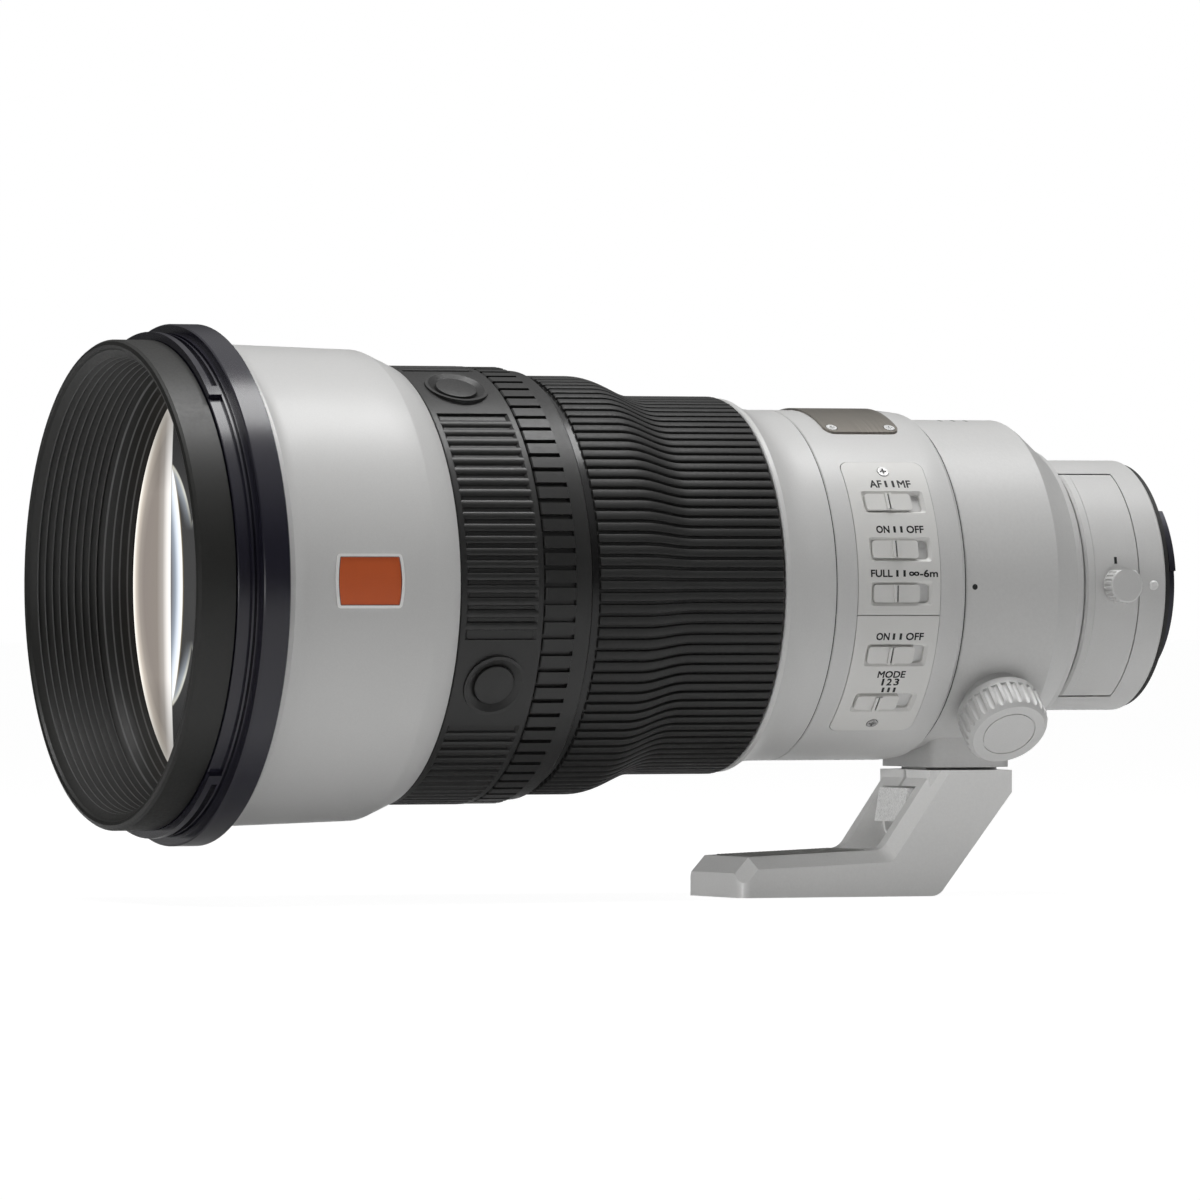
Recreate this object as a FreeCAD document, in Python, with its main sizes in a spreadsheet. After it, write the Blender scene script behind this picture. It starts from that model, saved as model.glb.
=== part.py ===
import FreeCAD, Part

# A long camera lens, built piece by piece around one optical axis.
# X runs along the axis: zero is the face of the mount flange, and the front glass looks to minus X.
# Z is up and the switches face minus Y. Lengths are in millimetres and angles in degrees.
# An angle around the axis is zero on the switch side, 90 at the top and -90 at the bottom.

import os

import Sketcher

os.makedirs("parts", exist_ok=True)
doc = FreeCAD.newDocument("camera_lens")

sizes = {
    # lengths of the outer sections, from the mount forward
    "seal_depth": 1.4,
    "rear_barrel_length": 23.2,
    "collar_length": 34.7,
    "switch_barrel_length": 34.4,
    "trim_ring_length": 14.3,
    "focus_ring_length": 52.2,
    "function_ring_length": 12.4,
    "button_ring_length": 21.4,
    "barrel_shoulder_length": 7.3,
    "front_barrel_length": 38.9,
    "flange_length": 6.7,
    "hood_seat_length": 5.3,
    "tube_length": 9.8,
    # clearances
    "turn_gap": 0.5,
    "seat_gap": 0.3,
    "slide_gap": 0.08,
    "edge_break": 0.3,
    # radii and walls around the front glass
    "front_glass_radius": 53.0,
    "front_glass_edge": 7.1,
    "front_glass_bulge": 6.0,
    "front_glass_hollow": 2.5,
    "cell_wall": 1.8,
    "barrel_wall": 1.95,
    "barrel_taper": 1.05,
    "barrel_lip": 0.95,
    "barrel_lip_length": 2.3,
    "barrel_cove_length": 3.4,
    "shoulder_drop": 3.3,
    "hood_wall": 2.0,
    "hood_lug_height": 1.2,
    "hood_lug_length": 1.5,
    "hood_groove_length": 1.7,
    "hood_lug_angle": 84.0,
    "hood_stop_angle": 3.0,
    "flange_rise": 3.1,
    "tube_wall": 1.6,
    "baffle_pitch": 1.81,
    "baffle_depth": 0.85,
    "baffle_step": 0.15,
    # second glass
    "second_glass_radius": 48.0,
    "second_glass_edge": 8.0,
    "second_glass_bulge": 4.0,
    "second_glass_hollow": 3.0,
    "cell_ledge_length": 9.0,
    "cell_rear_length": 13.0,
    "ledge_height": 2.0,
    # main tube and the rings around it
    "core_radius": 46.5,
    "core_wall": 2.0,
    "core_focus_step": 4.3,
    "core_switch_step": 4.0,
    "core_collar_step": 2.5,
    "core_rear_step": 5.3,
    "bulkhead_radius": 33.5,
    "bulkhead_length": 3.0,
    "grip_ring_wall": 5.7,
    "function_ring_wall": 5.6,
    "function_band_drop": 0.6,
    "function_band_length": 4.3,
    "function_notch_width": 1.2,
    "function_notch_depth": 1.1,
    "sleeve_wall": 2.25,
    "grip_thickness": 0.5,
    "groove_depth": 0.65,
    "button_margin": 1.6,
    "pad_sweep": 25.0,
    "crater_radius": 6.9,
    "crater_depth": 1.0,
    "focus_band_length": 2.1,
    "focus_front_length": 13.8,
    "focus_curve_length": 16.0,
    "focus_curve_drop": 4.7,
    "trim_wall": 4.0,
    "trim_lip": 2.7,
    "switch_rear_drop": 0.5,
    "switch_rear_length": 5.2,
    # hold buttons
    "button_angle": 63.3,
    "button_radius": 5.0,
    "button_pad_radius": 7.7,
    "button_pad_rise": 0.4,
    "button_rise": 0.15,
    "button_depth": 3.3,
    # badge and name plate
    "badge_length": 17.7,
    "badge_width": 12.8,
    "badge_front": 7.0,
    "badge_rise": 0.35,
    "badge_bow": 0.7,
    "badge_angle": 1.0,
    "plate_corner": 2.5,
    "name_plate_length": 19.7,
    "name_plate_width": 43.8,
    "name_plate_rise": 0.5,
    "name_plate_front": 6.4,
    # switch panels
    "panel_front": 5.5,
    "panel_length": 21.6,
    "panel_thickness": 1.5,
    "panel_rise": 0.12,
    "panel_border": 0.15,
    "upper_panel_angle": 17.15,
    "upper_panel_sweep": 53.6,
    "lower_panel_angle": -32.55,
    "lower_panel_sweep": 45.2,
    "switch_window_length": 14.9,
    "switch_window_width": 4.7,
    "switch_bevel": 0.75,
    "switch_length": 12.0,
    "switch_width": 4.3,
    "switch_rise": 0.7,
    "switch_rib_width": 0.65,
    "switch_rib_gap": 0.4,
    "mode_switch_length": 11.0,
    "switch_front": 9.1,
    "focus_switch_angle": 28.0,
    "override_switch_angle": 11.7,
    "range_switch_angle": -2.7,
    "stabiliser_switch_angle": -23.2,
    "mode_switch_angle": -41.6,
    "screw_radius": 1.35,
    "screw_height": 1.6,
    "screw_slot": 0.45,
    # tripod collar
    "collar_wall": 4.3,
    "collar_cone_start": 10.0,
    "collar_cone_drop": 6.7,
    "collar_cone_length": 8.4,
    "collar_bore_cone_front": 12.4,
    "collar_bore_cone_rear": 3.9,
    "block_front": 2.7,
    "block_length": 21.0,
    "block_width": 32.0,
    "block_drop": 3.9,
    "block_corner": 3.0,
    "rail_width": 14.0,
    "rail_flare": 2.0,
    "rail_depth": 4.0,
    "knob_angle": -43.0,
    "knob_front": 12.3,
    "knob_radius": 10.4,
    "knob_height": 10.0,
    "knob_shaft_radius": 3.1,
    "knob_flute_radius": 0.8,
    # foot
    "foot_gap": 0.7,
    "foot_width": 32.0,
    "foot_depth": 30.5,
    "foot_reach": 51.4,
    "foot_end_height": 5.9,
    "foot_nose_length": 3.5,
    "foot_nose_rise": 3.9,
    "foot_plate_rise": 1.5,
    "foot_plate_length": 39.0,
    "foot_jaw_height": 4.0,
    "foot_heel_height": 5.4,
    "foot_heel_length": 19.6,
    "foot_bevel": 3.0,
    "foot_wall": 6.7,
    "foot_wall_lean": 0.703,
    "foot_web": 5.0,
    "foot_split": 1.6,
    "large_socket_radius": 4.76,
    "small_socket_radius": 3.17,
    "large_socket_depth": 8.0,
    "small_socket_depth": 7.0,
    "locating_hole_radius": 2.0,
    "locating_hole_depth": 5.0,
    "lever_side_gap": 1.1,
    "lever_height": 8.6,
    "lever_thickness": 2.5,
    "lever_pin_radius": 1.0,
    # rear barrel, filter and mount
    "rear_radius_step": 0.2,
    "rear_bore_radius": 20.5,
    "rear_hollow_radius": 26.5,
    "rear_hollow_depth": 6.6,
    "cover_front": 1.3,
    "cover_length": 14.4,
    "cover_half_width": 26.9,
    "cover_thickness": 3.8,
    "cover_bead": 0.5,
    "cover_bead_length": 2.8,
    "filter_frame_radius": 23.5,
    "filter_frame_length": 9.0,
    "filter_glass_radius": 20.0,
    "filter_glass_thickness": 2.0,
    "filter_knob_radius": 4.4,
    "filter_knob_height": 4.2,
    "filter_knob_rear": 12.85,
    "bead_radius": 1.2,
    "bead_front": 3.5,
    "mount_rim": 1.7,
    "mount_plate": 2.8,
    "mount_land": 7.9,
    "mount_throat": 2.2,
    "mount_claw_height": 2.0,
    "mount_claw_length": 1.5,
    "mount_depth": 4.3,
    "mount_claw_angle": 38.0,
    "contact_radius": 0.5,
    # inner works
    "rod_radius": 1.25,
    "rod_ring_radius": 37.8,
    "focus_cell_length": 12.0,
    "focus_cell_front": 20.0,
    "focus_glass_radius": 31.0,
    "iris_front": 1.6,
    "iris_length": 11.0,
    "iris_opening": 24.0,
    "iris_leaf_width": 3.2,
    "iris_leaf_thickness": 0.2,
    "iris_leaf_pitch": 0.45,
    "iris_leaf_sweep": 66.0,
    "iris_pivot_radius": 29.2,
    "iris_pin_radius": 0.7,
    "stabiliser_front": 18.7,
    "stabiliser_length": 12.0,
    "stabiliser_play": 1.3,
    "stabiliser_glass_radius": 20.0,
    "board_thickness": 1.6,
    "rear_cell_length": 18.0,
    "rear_glass_radius": 22.0,
}

sheet = doc.addObject("Spreadsheet::Sheet", "Sizes")
for row, (name, value) in enumerate(sizes.items(), start=1):
    sheet.set("A" + str(row), str(value))
    sheet.setAlias("A" + str(row), name)
doc.recompute()


class Size:
    """A size or a sum of sizes: its number, and the sheet formula that gives the number."""

    def __init__(self, number, formula):
        self.number = number
        self.formula = formula

    def __add__(self, other):
        other = as_size(other)
        return Size(self.number + other.number, "(" + self.formula + " + " + other.formula + ")")

    def __sub__(self, other):
        other = as_size(other)
        return Size(self.number - other.number, "(" + self.formula + " - " + other.formula + ")")

    def __mul__(self, other):
        other = as_size(other)
        return Size(self.number * other.number, "(" + self.formula + " * " + other.formula + ")")

    def __truediv__(self, other):
        other = as_size(other)
        return Size(self.number / other.number, "(" + self.formula + " / " + other.formula + ")")

    def __neg__(self):
        return Size(-self.number, "(0 - " + self.formula + ")")


def as_size(value):
    """Give a bare number the same shape as a size."""
    if isinstance(value, Size):
        return value
    if value < 0:
        return Size(float(value), "(0 - " + str(abs(value)) + ")")
    return Size(float(value), str(value))


def size(name):
    """One named size from the sheet."""
    return Size(sizes[name], "Sizes." + name)


def bind(thing, path, length):
    """Drive one property of an object from the sheet."""
    thing.setExpression(path, as_size(length).formula)


def origin_part(body, role):
    """The origin plane or axis of a body that has this role."""
    for feature in body.Origin.OriginFeatures:
        if feature.Role == role:
            return feature
    raise ValueError("no origin part " + role)


def hold_corner(sketch, line, direction, length):
    """Hold the start of a line at its distance from the sketch's origin."""
    if abs(length.number) < 1e-9:
        axis = -2 if direction == "X" else -1
        sketch.addConstraint(Sketcher.Constraint("PointOnObject", line, 1, axis))
        return
    ends = (-1, 1, line, 1) if length.number > 0 else (line, 1, -1, 1)
    formula = length.formula if length.number > 0 else (-length).formula
    number = sketch.addConstraint(Sketcher.Constraint("Distance" + direction, *ends, abs(length.number)))
    sketch.setExpression("Constraints[" + str(number) + "]", formula)


def place_sketch(body, plane, name, offset=None):
    """Start a sketch on one of the body's own planes, or a distance off it."""
    sketch = body.newObject("Sketcher::SketchObject", name)
    sketch.AttachmentSupport = [(origin_part(body, plane), "")]
    sketch.MapMode = "FlatFace"
    if offset is not None:
        bind(sketch, "AttachmentOffset.Base.z", offset)
    return sketch


def draw_outline(sketch, corners):
    """Draw a closed outline of straight sides, every corner held by two sizes."""
    corners = [(as_size(across), as_size(up)) for across, up in corners]
    count = len(corners)
    points = [FreeCAD.Vector(across.number, up.number, 0) for across, up in corners]
    sides = [Part.LineSegment(points[index], points[(index + 1) % count]) for index in range(count)]
    sketch.addGeometry(sides, False)
    joins = [Sketcher.Constraint("Coincident", index, 2, (index + 1) % count, 1) for index in range(count)]
    sketch.addConstraint(joins)
    for index, (across, up) in enumerate(corners):
        hold_corner(sketch, index, "X", across)
        hold_corner(sketch, index, "Y", up)
    return sketch


def draw_circle(sketch, across, up, radius):
    """Draw one circle, its centre and radius held by sizes."""
    across, up, radius = as_size(across), as_size(up), as_size(radius)
    middle = FreeCAD.Vector(across.number, up.number, 0)
    circle = sketch.addGeometry(Part.Circle(middle, FreeCAD.Vector(0, 0, 1), radius.number), False)
    for direction, length in (("X", across), ("Y", up)):
        if abs(length.number) < 1e-9:
            axis = -2 if direction == "X" else -1
            sketch.addConstraint(Sketcher.Constraint("PointOnObject", circle, 3, axis))
            continue
        ends = (-1, 1, circle, 3) if length.number > 0 else (circle, 3, -1, 1)
        formula = length.formula if length.number > 0 else (-length).formula
        number = sketch.addConstraint(Sketcher.Constraint("Distance" + direction, *ends, abs(length.number)))
        sketch.setExpression("Constraints[" + str(number) + "]", formula)
    number = sketch.addConstraint(Sketcher.Constraint("Radius", circle, radius.number))
    sketch.setExpression("Constraints[" + str(number) + "]", radius.formula)
    return sketch


def ahead(pairs):
    """Turn pairs of distance ahead of the flange and radius into places in a sketch."""
    return [(-as_size(distance), radius) for distance, radius in pairs]


def turn_outline(body, name, outline, about="H_Axis", sweep=None, remove=False):
    """Turn an outline around an axis of its sketch, all the way or through a middle angle."""
    sketch = draw_outline(place_sketch(body, "XZ_Plane", name + "_outline"), outline)
    kind = "PartDesign::Groove" if remove else "PartDesign::Revolution"
    turn = body.newObject(kind, name)
    turn.Profile = sketch
    turn.ReferenceAxis = (sketch, [about])
    turn.Angle = 360
    if sweep is not None:
        turn.Midplane = True
        bind(turn, "Angle", sweep)
    return turn


def turned(label, outline, about="H_Axis", sweep=None):
    """A body turned from one outline of distance ahead and radius."""
    body = doc.addObject("PartDesign::Body", label)
    if about == "H_Axis":
        outline = ahead(outline)
    turn_outline(body, label + "_turn", outline, about, sweep)
    return body


def band(label, front, rear, outer, inner, sweep=None):
    """A ring with sharp edges, for thin pieces and for cutting."""
    return turned(label, [(front, inner), (front, outer), (rear, outer), (rear, inner)], "H_Axis", sweep)


def add_pad(body, name, sketch, length, middle=False, taper=None):
    """Raise a sketch into a solid part of the body."""
    pad = body.newObject("PartDesign::Pad", name)
    pad.Profile = sketch
    bind(pad, "Length", length)
    pad.Midplane = middle
    if taper is not None:
        pad.TaperAngle = taper
    return pad


def add_pocket(body, name, sketch, length, along=False, middle=False):
    """Cut a sketch out of the body, against the sketch's normal or along it."""
    pocket = body.newObject("PartDesign::Pocket", name)
    pocket.Profile = sketch
    bind(pocket, "Length", length)
    pocket.Reversed = along
    pocket.Midplane = middle
    return pocket


def repeat_round(body, name, features, axis, count):
    """Repeat features evenly around one of the body's own axes."""
    pattern = body.newObject("PartDesign::PolarPattern", name)
    pattern.Originals = features
    pattern.Axis = (origin_part(body, axis), [""])
    pattern.Angle = 360
    pattern.Occurrences = count
    body.Tip = pattern
    return pattern


def upright_edges(shape):
    """Names of the edges that rise from one height to another."""
    names = []
    for index, edge in enumerate(shape.Edges, start=1):
        heights = [vertex.Point.z for vertex in edge.Vertexes]
        if len(heights) == 2 and abs(heights[0] - heights[1]) > 0.05:
            names.append("Edge" + str(index))
    return names


def soften(body, name, feature, edges, radius, flat=False):
    """Round the named edges of a feature, or bevel them."""
    kind = "PartDesign::Chamfer" if flat else "PartDesign::Fillet"
    edge_work = body.newObject(kind, name)
    edge_work.Base = (feature, edges)
    bind(edge_work, "Size" if flat else "Radius", radius)
    body.Tip = edge_work
    return edge_work


def rounded_block(label, length, width, corner, low, high, taper=None):
    """A block with rounded corners that stands on a plane above the axis."""
    body = doc.addObject("PartDesign::Body", label)
    half_length = as_size(length) / 2
    half_width = as_size(width) / 2
    corners = [
        (-half_length, -half_width),
        (half_length, -half_width),
        (half_length, half_width),
        (-half_length, half_width),
    ]
    sketch = draw_outline(place_sketch(body, "XY_Plane", label + "_outline", low), corners)
    pad = add_pad(body, label + "_pad", sketch, as_size(high) - low, taper=taper)
    doc.recompute()
    soften(body, label + "_corners", pad, upright_edges(pad.Shape), corner)
    return body


def place_round(piece, distance, angle):
    """Set a piece that points up at its distance ahead of the flange, turned to an angle."""
    lean = as_size(90) - angle
    base = "create(<<vector>>; " + (-as_size(distance)).formula + "; 0; 0)"
    turn = "create(<<rotation>>; create(<<vector>>; 1; 0; 0); " + lean.formula + ")"
    piece.setExpression("Placement", "create(<<placement>>; " + base + "; " + turn + ")")
    return piece


def box(label, rear, front, left, right, low, high):
    """A block between two distances ahead, two sides and two heights."""
    rear, front, left, right, low, high = [as_size(one) for one in (rear, front, left, right, low, high)]
    block = doc.addObject("Part::Box", label)
    bind(block, "Length", front - rear)
    bind(block, "Width", right - left)
    bind(block, "Height", high - low)
    bind(block, "Placement.Base.x", -front)
    bind(block, "Placement.Base.y", left)
    bind(block, "Placement.Base.z", low)
    return block


def stand(piece, distance, angle, low):
    """Stand a piece out from the axis at an angle, its foot at a height above the axis."""
    lean = as_size(90) - angle
    turn = "create(<<rotation>>; create(<<vector>>; 1; 0; 0); " + lean.formula + ")"
    foot = "create(<<vector>>; 0; 0; " + as_size(low).formula + ")"
    base = "create(<<vector>>; " + (-as_size(distance)).formula + "; 0; 0)"
    inner = "create(<<placement>>; " + foot + "; create(<<rotation>>; 0; 0; 0))"
    piece.setExpression("Placement", "create(<<placement>>; " + base + "; " + turn + ") * " + inner)
    return piece


def post(label, distance, angle, radius, low, high):
    """A round post that stands out from the axis between two heights."""
    shaft = doc.addObject("Part::Cylinder", label)
    bind(shaft, "Radius", radius)
    bind(shaft, "Height", as_size(high) - low)
    return stand(shaft, distance, angle, low)


def rod(label, front, rear, radius, across, up):
    """A round rod along the axis, at a place beside it."""
    shaft = doc.addObject("Part::Cylinder", label)
    bind(shaft, "Radius", radius)
    bind(shaft, "Height", as_size(front) - rear)
    shaft.Placement = FreeCAD.Placement(FreeCAD.Vector(0, 0, 0), FreeCAD.Rotation(FreeCAD.Vector(0, 1, 0), 90))
    bind(shaft, "Placement.Base.x", -as_size(front))
    bind(shaft, "Placement.Base.y", across)
    bind(shaft, "Placement.Base.z", up)
    return shaft


def ball(label, centre, radius):
    """A ball on the optical axis."""
    sphere = doc.addObject("Part::Sphere", label)
    bind(sphere, "Radius", radius)
    bind(sphere, "Placement.Base.x", -as_size(centre))
    return sphere


def join(label, *parts):
    """Join parts into one solid."""
    whole = doc.addObject("Part::MultiFuse", label)
    whole.Shapes = list(parts)
    return whole


def shared(label, *parts):
    """Keep only what all the parts have in common."""
    whole = doc.addObject("Part::MultiCommon", label)
    whole.Shapes = list(parts)
    return whole


def cut(label, base, *tools):
    """Cut tools out of a base."""
    result = doc.addObject("Part::Cut", label)
    result.Base = base
    result.Tool = tools[0] if len(tools) == 1 else join(label + "_tools", *tools)
    return result


def group(label, *parts):
    """Keep identical parts together as separate solids."""
    whole = doc.addObject("Part::Compound", label)
    whole.Links = list(parts)
    return whole


def glass(label, front, edge, radius, bulge, hollow):
    """A lens element: the front bulges out and the rear is hollowed, both on balls."""
    front, edge, radius = as_size(front), as_size(edge), as_size(radius)
    bulge, hollow = as_size(bulge), as_size(hollow)
    blank = rod(label + "_blank", front + bulge, front - edge, radius, 0, 0)
    front_ball_radius = (radius * radius + bulge * bulge) / (bulge * 2)
    front_ball = ball(label + "_front_ball", front + bulge - front_ball_radius, front_ball_radius)
    rear_ball_radius = (radius * radius + hollow * hollow) / (hollow * 2)
    rear_ball = ball(label + "_rear_ball", front - edge + hollow - rear_ball_radius, rear_ball_radius)
    domed = shared(label + "_domed", blank, front_ball)
    return cut(label, domed, rear_ball)


# Where the outer sections meet, counted ahead of the mount flange
turn_gap = size("turn_gap")
seat_gap = size("seat_gap")
slide_gap = size("slide_gap")
edge = size("edge_break")
barrel_end = size("seal_depth")
rear_barrel_front = barrel_end + size("rear_barrel_length")
collar_rear = rear_barrel_front + turn_gap
collar_front = collar_rear + size("collar_length")
switch_rear = collar_front + turn_gap
switch_front = switch_rear + size("switch_barrel_length")
trim_rear = switch_front + seat_gap
trim_front = trim_rear + size("trim_ring_length")
focus_rear = trim_front + seat_gap
focus_front = focus_rear + size("focus_ring_length")
function_rear = focus_front + turn_gap
function_front = function_rear + size("function_ring_length")
button_rear = function_front + seat_gap
button_front = button_rear + size("button_ring_length")
barrel_rear = button_front + seat_gap
barrel_shoulder = barrel_rear + size("barrel_shoulder_length")
barrel_front = barrel_shoulder + size("front_barrel_length")
flange_rear = barrel_front + seat_gap
flange_front = flange_rear + size("flange_length")
hood_front = flange_front + size("hood_seat_length")
lens_front = hood_front + size("tube_length")

# Radii that several pieces share, from the inside out
glass_radius = size("front_glass_radius")
cell_radius = glass_radius + seat_gap + size("cell_wall")
barrel_bore = cell_radius + seat_gap
barrel_radius = barrel_bore + size("barrel_wall")
shoulder_radius = barrel_radius - size("barrel_taper")
hood_bore = barrel_bore + 1.5
hood_radius = hood_bore + size("hood_wall")
flange_radius = hood_radius + size("flange_rise")
tube_seat_radius = hood_bore - seat_gap
tube_radius = tube_seat_radius + size("tube_wall")
core = size("core_radius")
core_wall = size("core_wall")
focus_core = core - size("core_focus_step")
switch_core = focus_core - size("core_switch_step")
collar_core = switch_core - size("core_collar_step")
rear_core = collar_core - size("core_rear_step")
ring_bore = core + seat_gap
button_ring_radius = ring_bore + size("grip_ring_wall")
function_radius = ring_bore + size("function_ring_wall")
sleeve_radius = ring_bore + size("sleeve_wall")
grip_radius = sleeve_radius + size("grip_thickness")
switch_radius = switch_core + seat_gap + size("trim_wall")
collar_bore = collar_core + seat_gap
collar_radius = collar_bore + size("collar_wall")
rear_radius = rear_core + size("rear_radius_step")
pieces = []


def keep(piece):
    """Count a finished piece among those that are written out."""
    pieces.append(piece)
    return piece


# Front glass group
glass_face = barrel_front - 4.5
front_element = glass(
    "front_element",
    glass_face,
    size("front_glass_edge"),
    glass_radius,
    size("front_glass_bulge"),
    size("front_glass_hollow"),
)
keep(front_element)

ledge_front = glass_face - size("front_glass_edge") - seat_gap
ledge_rear = ledge_front - size("cell_ledge_length")
cell_front = glass_face - edge
cell_rear = ledge_rear - size("cell_rear_length")
second_radius = size("second_glass_radius")
front_cell = turned("front_cell", [
    (cell_front, glass_radius + seat_gap),
    (cell_front, cell_radius),
    (cell_rear, cell_radius),
    (cell_rear, second_radius + seat_gap),
    (ledge_rear, second_radius + seat_gap),
    (ledge_rear, second_radius - size("ledge_height")),
    (ledge_front, second_radius - size("ledge_height")),
    (ledge_front, glass_radius + seat_gap),
])
keep(front_cell)

second_glass_face = ledge_rear - seat_gap
second_element = glass(
    "second_element",
    second_glass_face,
    size("second_glass_edge"),
    second_radius,
    size("second_glass_bulge"),
    size("second_glass_hollow"),
)
keep(second_element)


# Front tube with its ribbed inside
def baffle_outline():
    """The outline of the tube: smooth outside, nine thin ridges inside."""
    lip_face = glass_face + 1.3
    lip_radius = glass_radius - 2.5
    outline = [
        (lens_front, tube_radius - 1.3),
        (lens_front - 0.35, tube_radius - 0.45),
        (lens_front - 1.0, tube_radius),
        (hood_front + seat_gap, tube_radius),
        (hood_front + seat_gap, tube_seat_radius),
        (flange_rear + seat_gap, tube_seat_radius),
        (flange_rear + seat_gap, barrel_bore - 0.6),
        (lip_face, cell_radius - 1.7),
        (lip_face - 0.4, cell_radius - 1.9),
        (lip_face - 0.4, lip_radius + 0.1),
        (lip_face, lip_radius),
        (lip_face + 5.9, lip_radius + 1.7),
    ]
    pitch = size("baffle_pitch")
    depth = size("baffle_depth")
    for index in range(9):
        crest = lip_face + 8.3 + pitch * index
        crest_radius = lip_radius + 2.5 + size("baffle_step") * index
        outline.append((crest - 0.35, crest_radius + depth))
        outline.append((crest - 0.1, crest_radius))
        outline.append((crest + 0.15, crest_radius))
        outline.append((crest + 1.1, crest_radius + depth))
    outline.append((lens_front - 0.9, tube_radius - 2.4))
    outline.append((lens_front - 0.25, tube_radius - 2.1))
    return outline


keep(turned("front_tube", baffle_outline()))


# Ring that carries the hood, and the flange behind it
hood_ring = doc.addObject("PartDesign::Body", "hood_ring")
hood_ridge = hood_front - size("hood_lug_length") - size("hood_groove_length")
turn_outline(hood_ring, "hood_ring_turn", ahead([
    (hood_front, hood_bore),
    (hood_front, hood_radius - 0.2),
    (hood_front - 0.2, hood_radius),
    (hood_ridge, hood_radius),
    (hood_ridge, hood_radius + 0.8),
    (hood_ridge - 0.5, hood_radius + 0.8),
    (hood_ridge - 0.5, hood_radius + 0.1),
    (hood_ridge - 1.1, hood_radius + 0.1),
    (hood_ridge - 1.1, hood_radius + 1.0),
    (flange_front, hood_radius + 1.0),
    (flange_front, flange_radius - edge),
    (flange_front - edge, flange_radius),
    (flange_rear + edge, flange_radius),
    (flange_rear, flange_radius - edge),
    (flange_rear, hood_bore),
]))
lug_radius = hood_radius + size("hood_lug_height")
hood_lug = turn_outline(hood_ring, "hood_lug", ahead([
    (hood_front, hood_radius - 0.3),
    (hood_front, lug_radius),
    (hood_ridge, lug_radius),
    (hood_ridge, hood_radius - 0.3),
]), sweep=size("hood_lug_angle"))
repeat_round(hood_ring, "hood_lugs", [hood_lug], "X_Axis", 2)
hood_groove = turn_outline(hood_ring, "hood_groove", ahead([
    (hood_front - size("hood_lug_length"), hood_radius - 0.3),
    (hood_front - size("hood_lug_length"), lug_radius + 1.0),
    (hood_ridge, lug_radius + 1.0),
    (hood_ridge, hood_radius - 0.3),
]), sweep=size("hood_lug_angle") - size("hood_stop_angle") * 2, remove=True)
repeat_round(hood_ring, "hood_grooves", [hood_groove], "X_Axis", 2)
keep(hood_ring)

# Painted front barrel
lip_end = barrel_front - size("barrel_lip_length")
cove_end = lip_end - size("barrel_cove_length")
lip_radius = barrel_radius + size("barrel_lip")
web_bore = core + seat_gap
web_front = barrel_rear + 4.3
keep(turned("front_barrel", [
    (barrel_front, barrel_bore),
    (barrel_front, lip_radius - edge),
    (barrel_front - edge, lip_radius),
    (lip_end, lip_radius),
    (lip_end - 0.8, lip_radius - 0.4),
    (lip_end - 2.0, barrel_radius + 0.15),
    (cove_end, barrel_radius),
    (barrel_shoulder + 0.4, shoulder_radius),
    (barrel_shoulder - 0.4, shoulder_radius - 0.25),
    (barrel_rear + 0.2, shoulder_radius - size("shoulder_drop")),
    (barrel_rear, shoulder_radius - size("shoulder_drop") - 0.2),
    (barrel_rear, web_bore),
    (web_front, web_bore),
    (web_front + 2.0, barrel_bore - 1.4),
    (web_front + 6.0, barrel_bore),
]))


def barrel_surface(distance):
    """Radius of the tapered front barrel at a distance ahead of the flange."""
    share = (distance - barrel_shoulder) / (cove_end - barrel_shoulder)
    return shoulder_radius + size("barrel_taper") * share


# Badge plate: bare, with a raised rim
badge_front = cove_end - size("badge_front")
badge_rear = badge_front - size("badge_length")
badge_middle = (badge_front + badge_rear) / 2


def bowed_block(label, length, width, corner, low, high):
    """A block whose two ends bow out, like a barrel seen from above."""
    body = doc.addObject("PartDesign::Body", label)
    shares = (-1, -0.75, -0.5, -0.25, 0, 0.25, 0.5, 0.75, 1)
    reach = [length / 2 - size("badge_bow") * share ** 2 for share in shares]
    rear_end = [(along, width / 2 * share) for along, share in zip(reach, shares)]
    front_end = [(-along, width / 2 * -share) for along, share in zip(reach, shares)]
    sketch = draw_outline(place_sketch(body, "XY_Plane", label + "_outline", low), rear_end + front_end)
    pad = add_pad(body, label + "_pad", sketch, as_size(high) - low)
    doc.recompute()
    soften(body, label + "_corners", pad, far_corner_edges(pad.Shape), corner)
    return body


def far_corner_edges(shape):
    """The four upright edges where a bowed end meets a straight side."""
    names = []
    half = size("badge_width").number / 2 - 1.0
    for index, one in enumerate(shape.Edges, start=1):
        points = [vertex.Point for vertex in one.Vertexes]
        upright = len(points) == 2 and abs(points[0].z - points[1].z) > 0.05
        if upright and abs(points[0].y) > half:
            names.append("Edge" + str(index))
    return names


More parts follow.
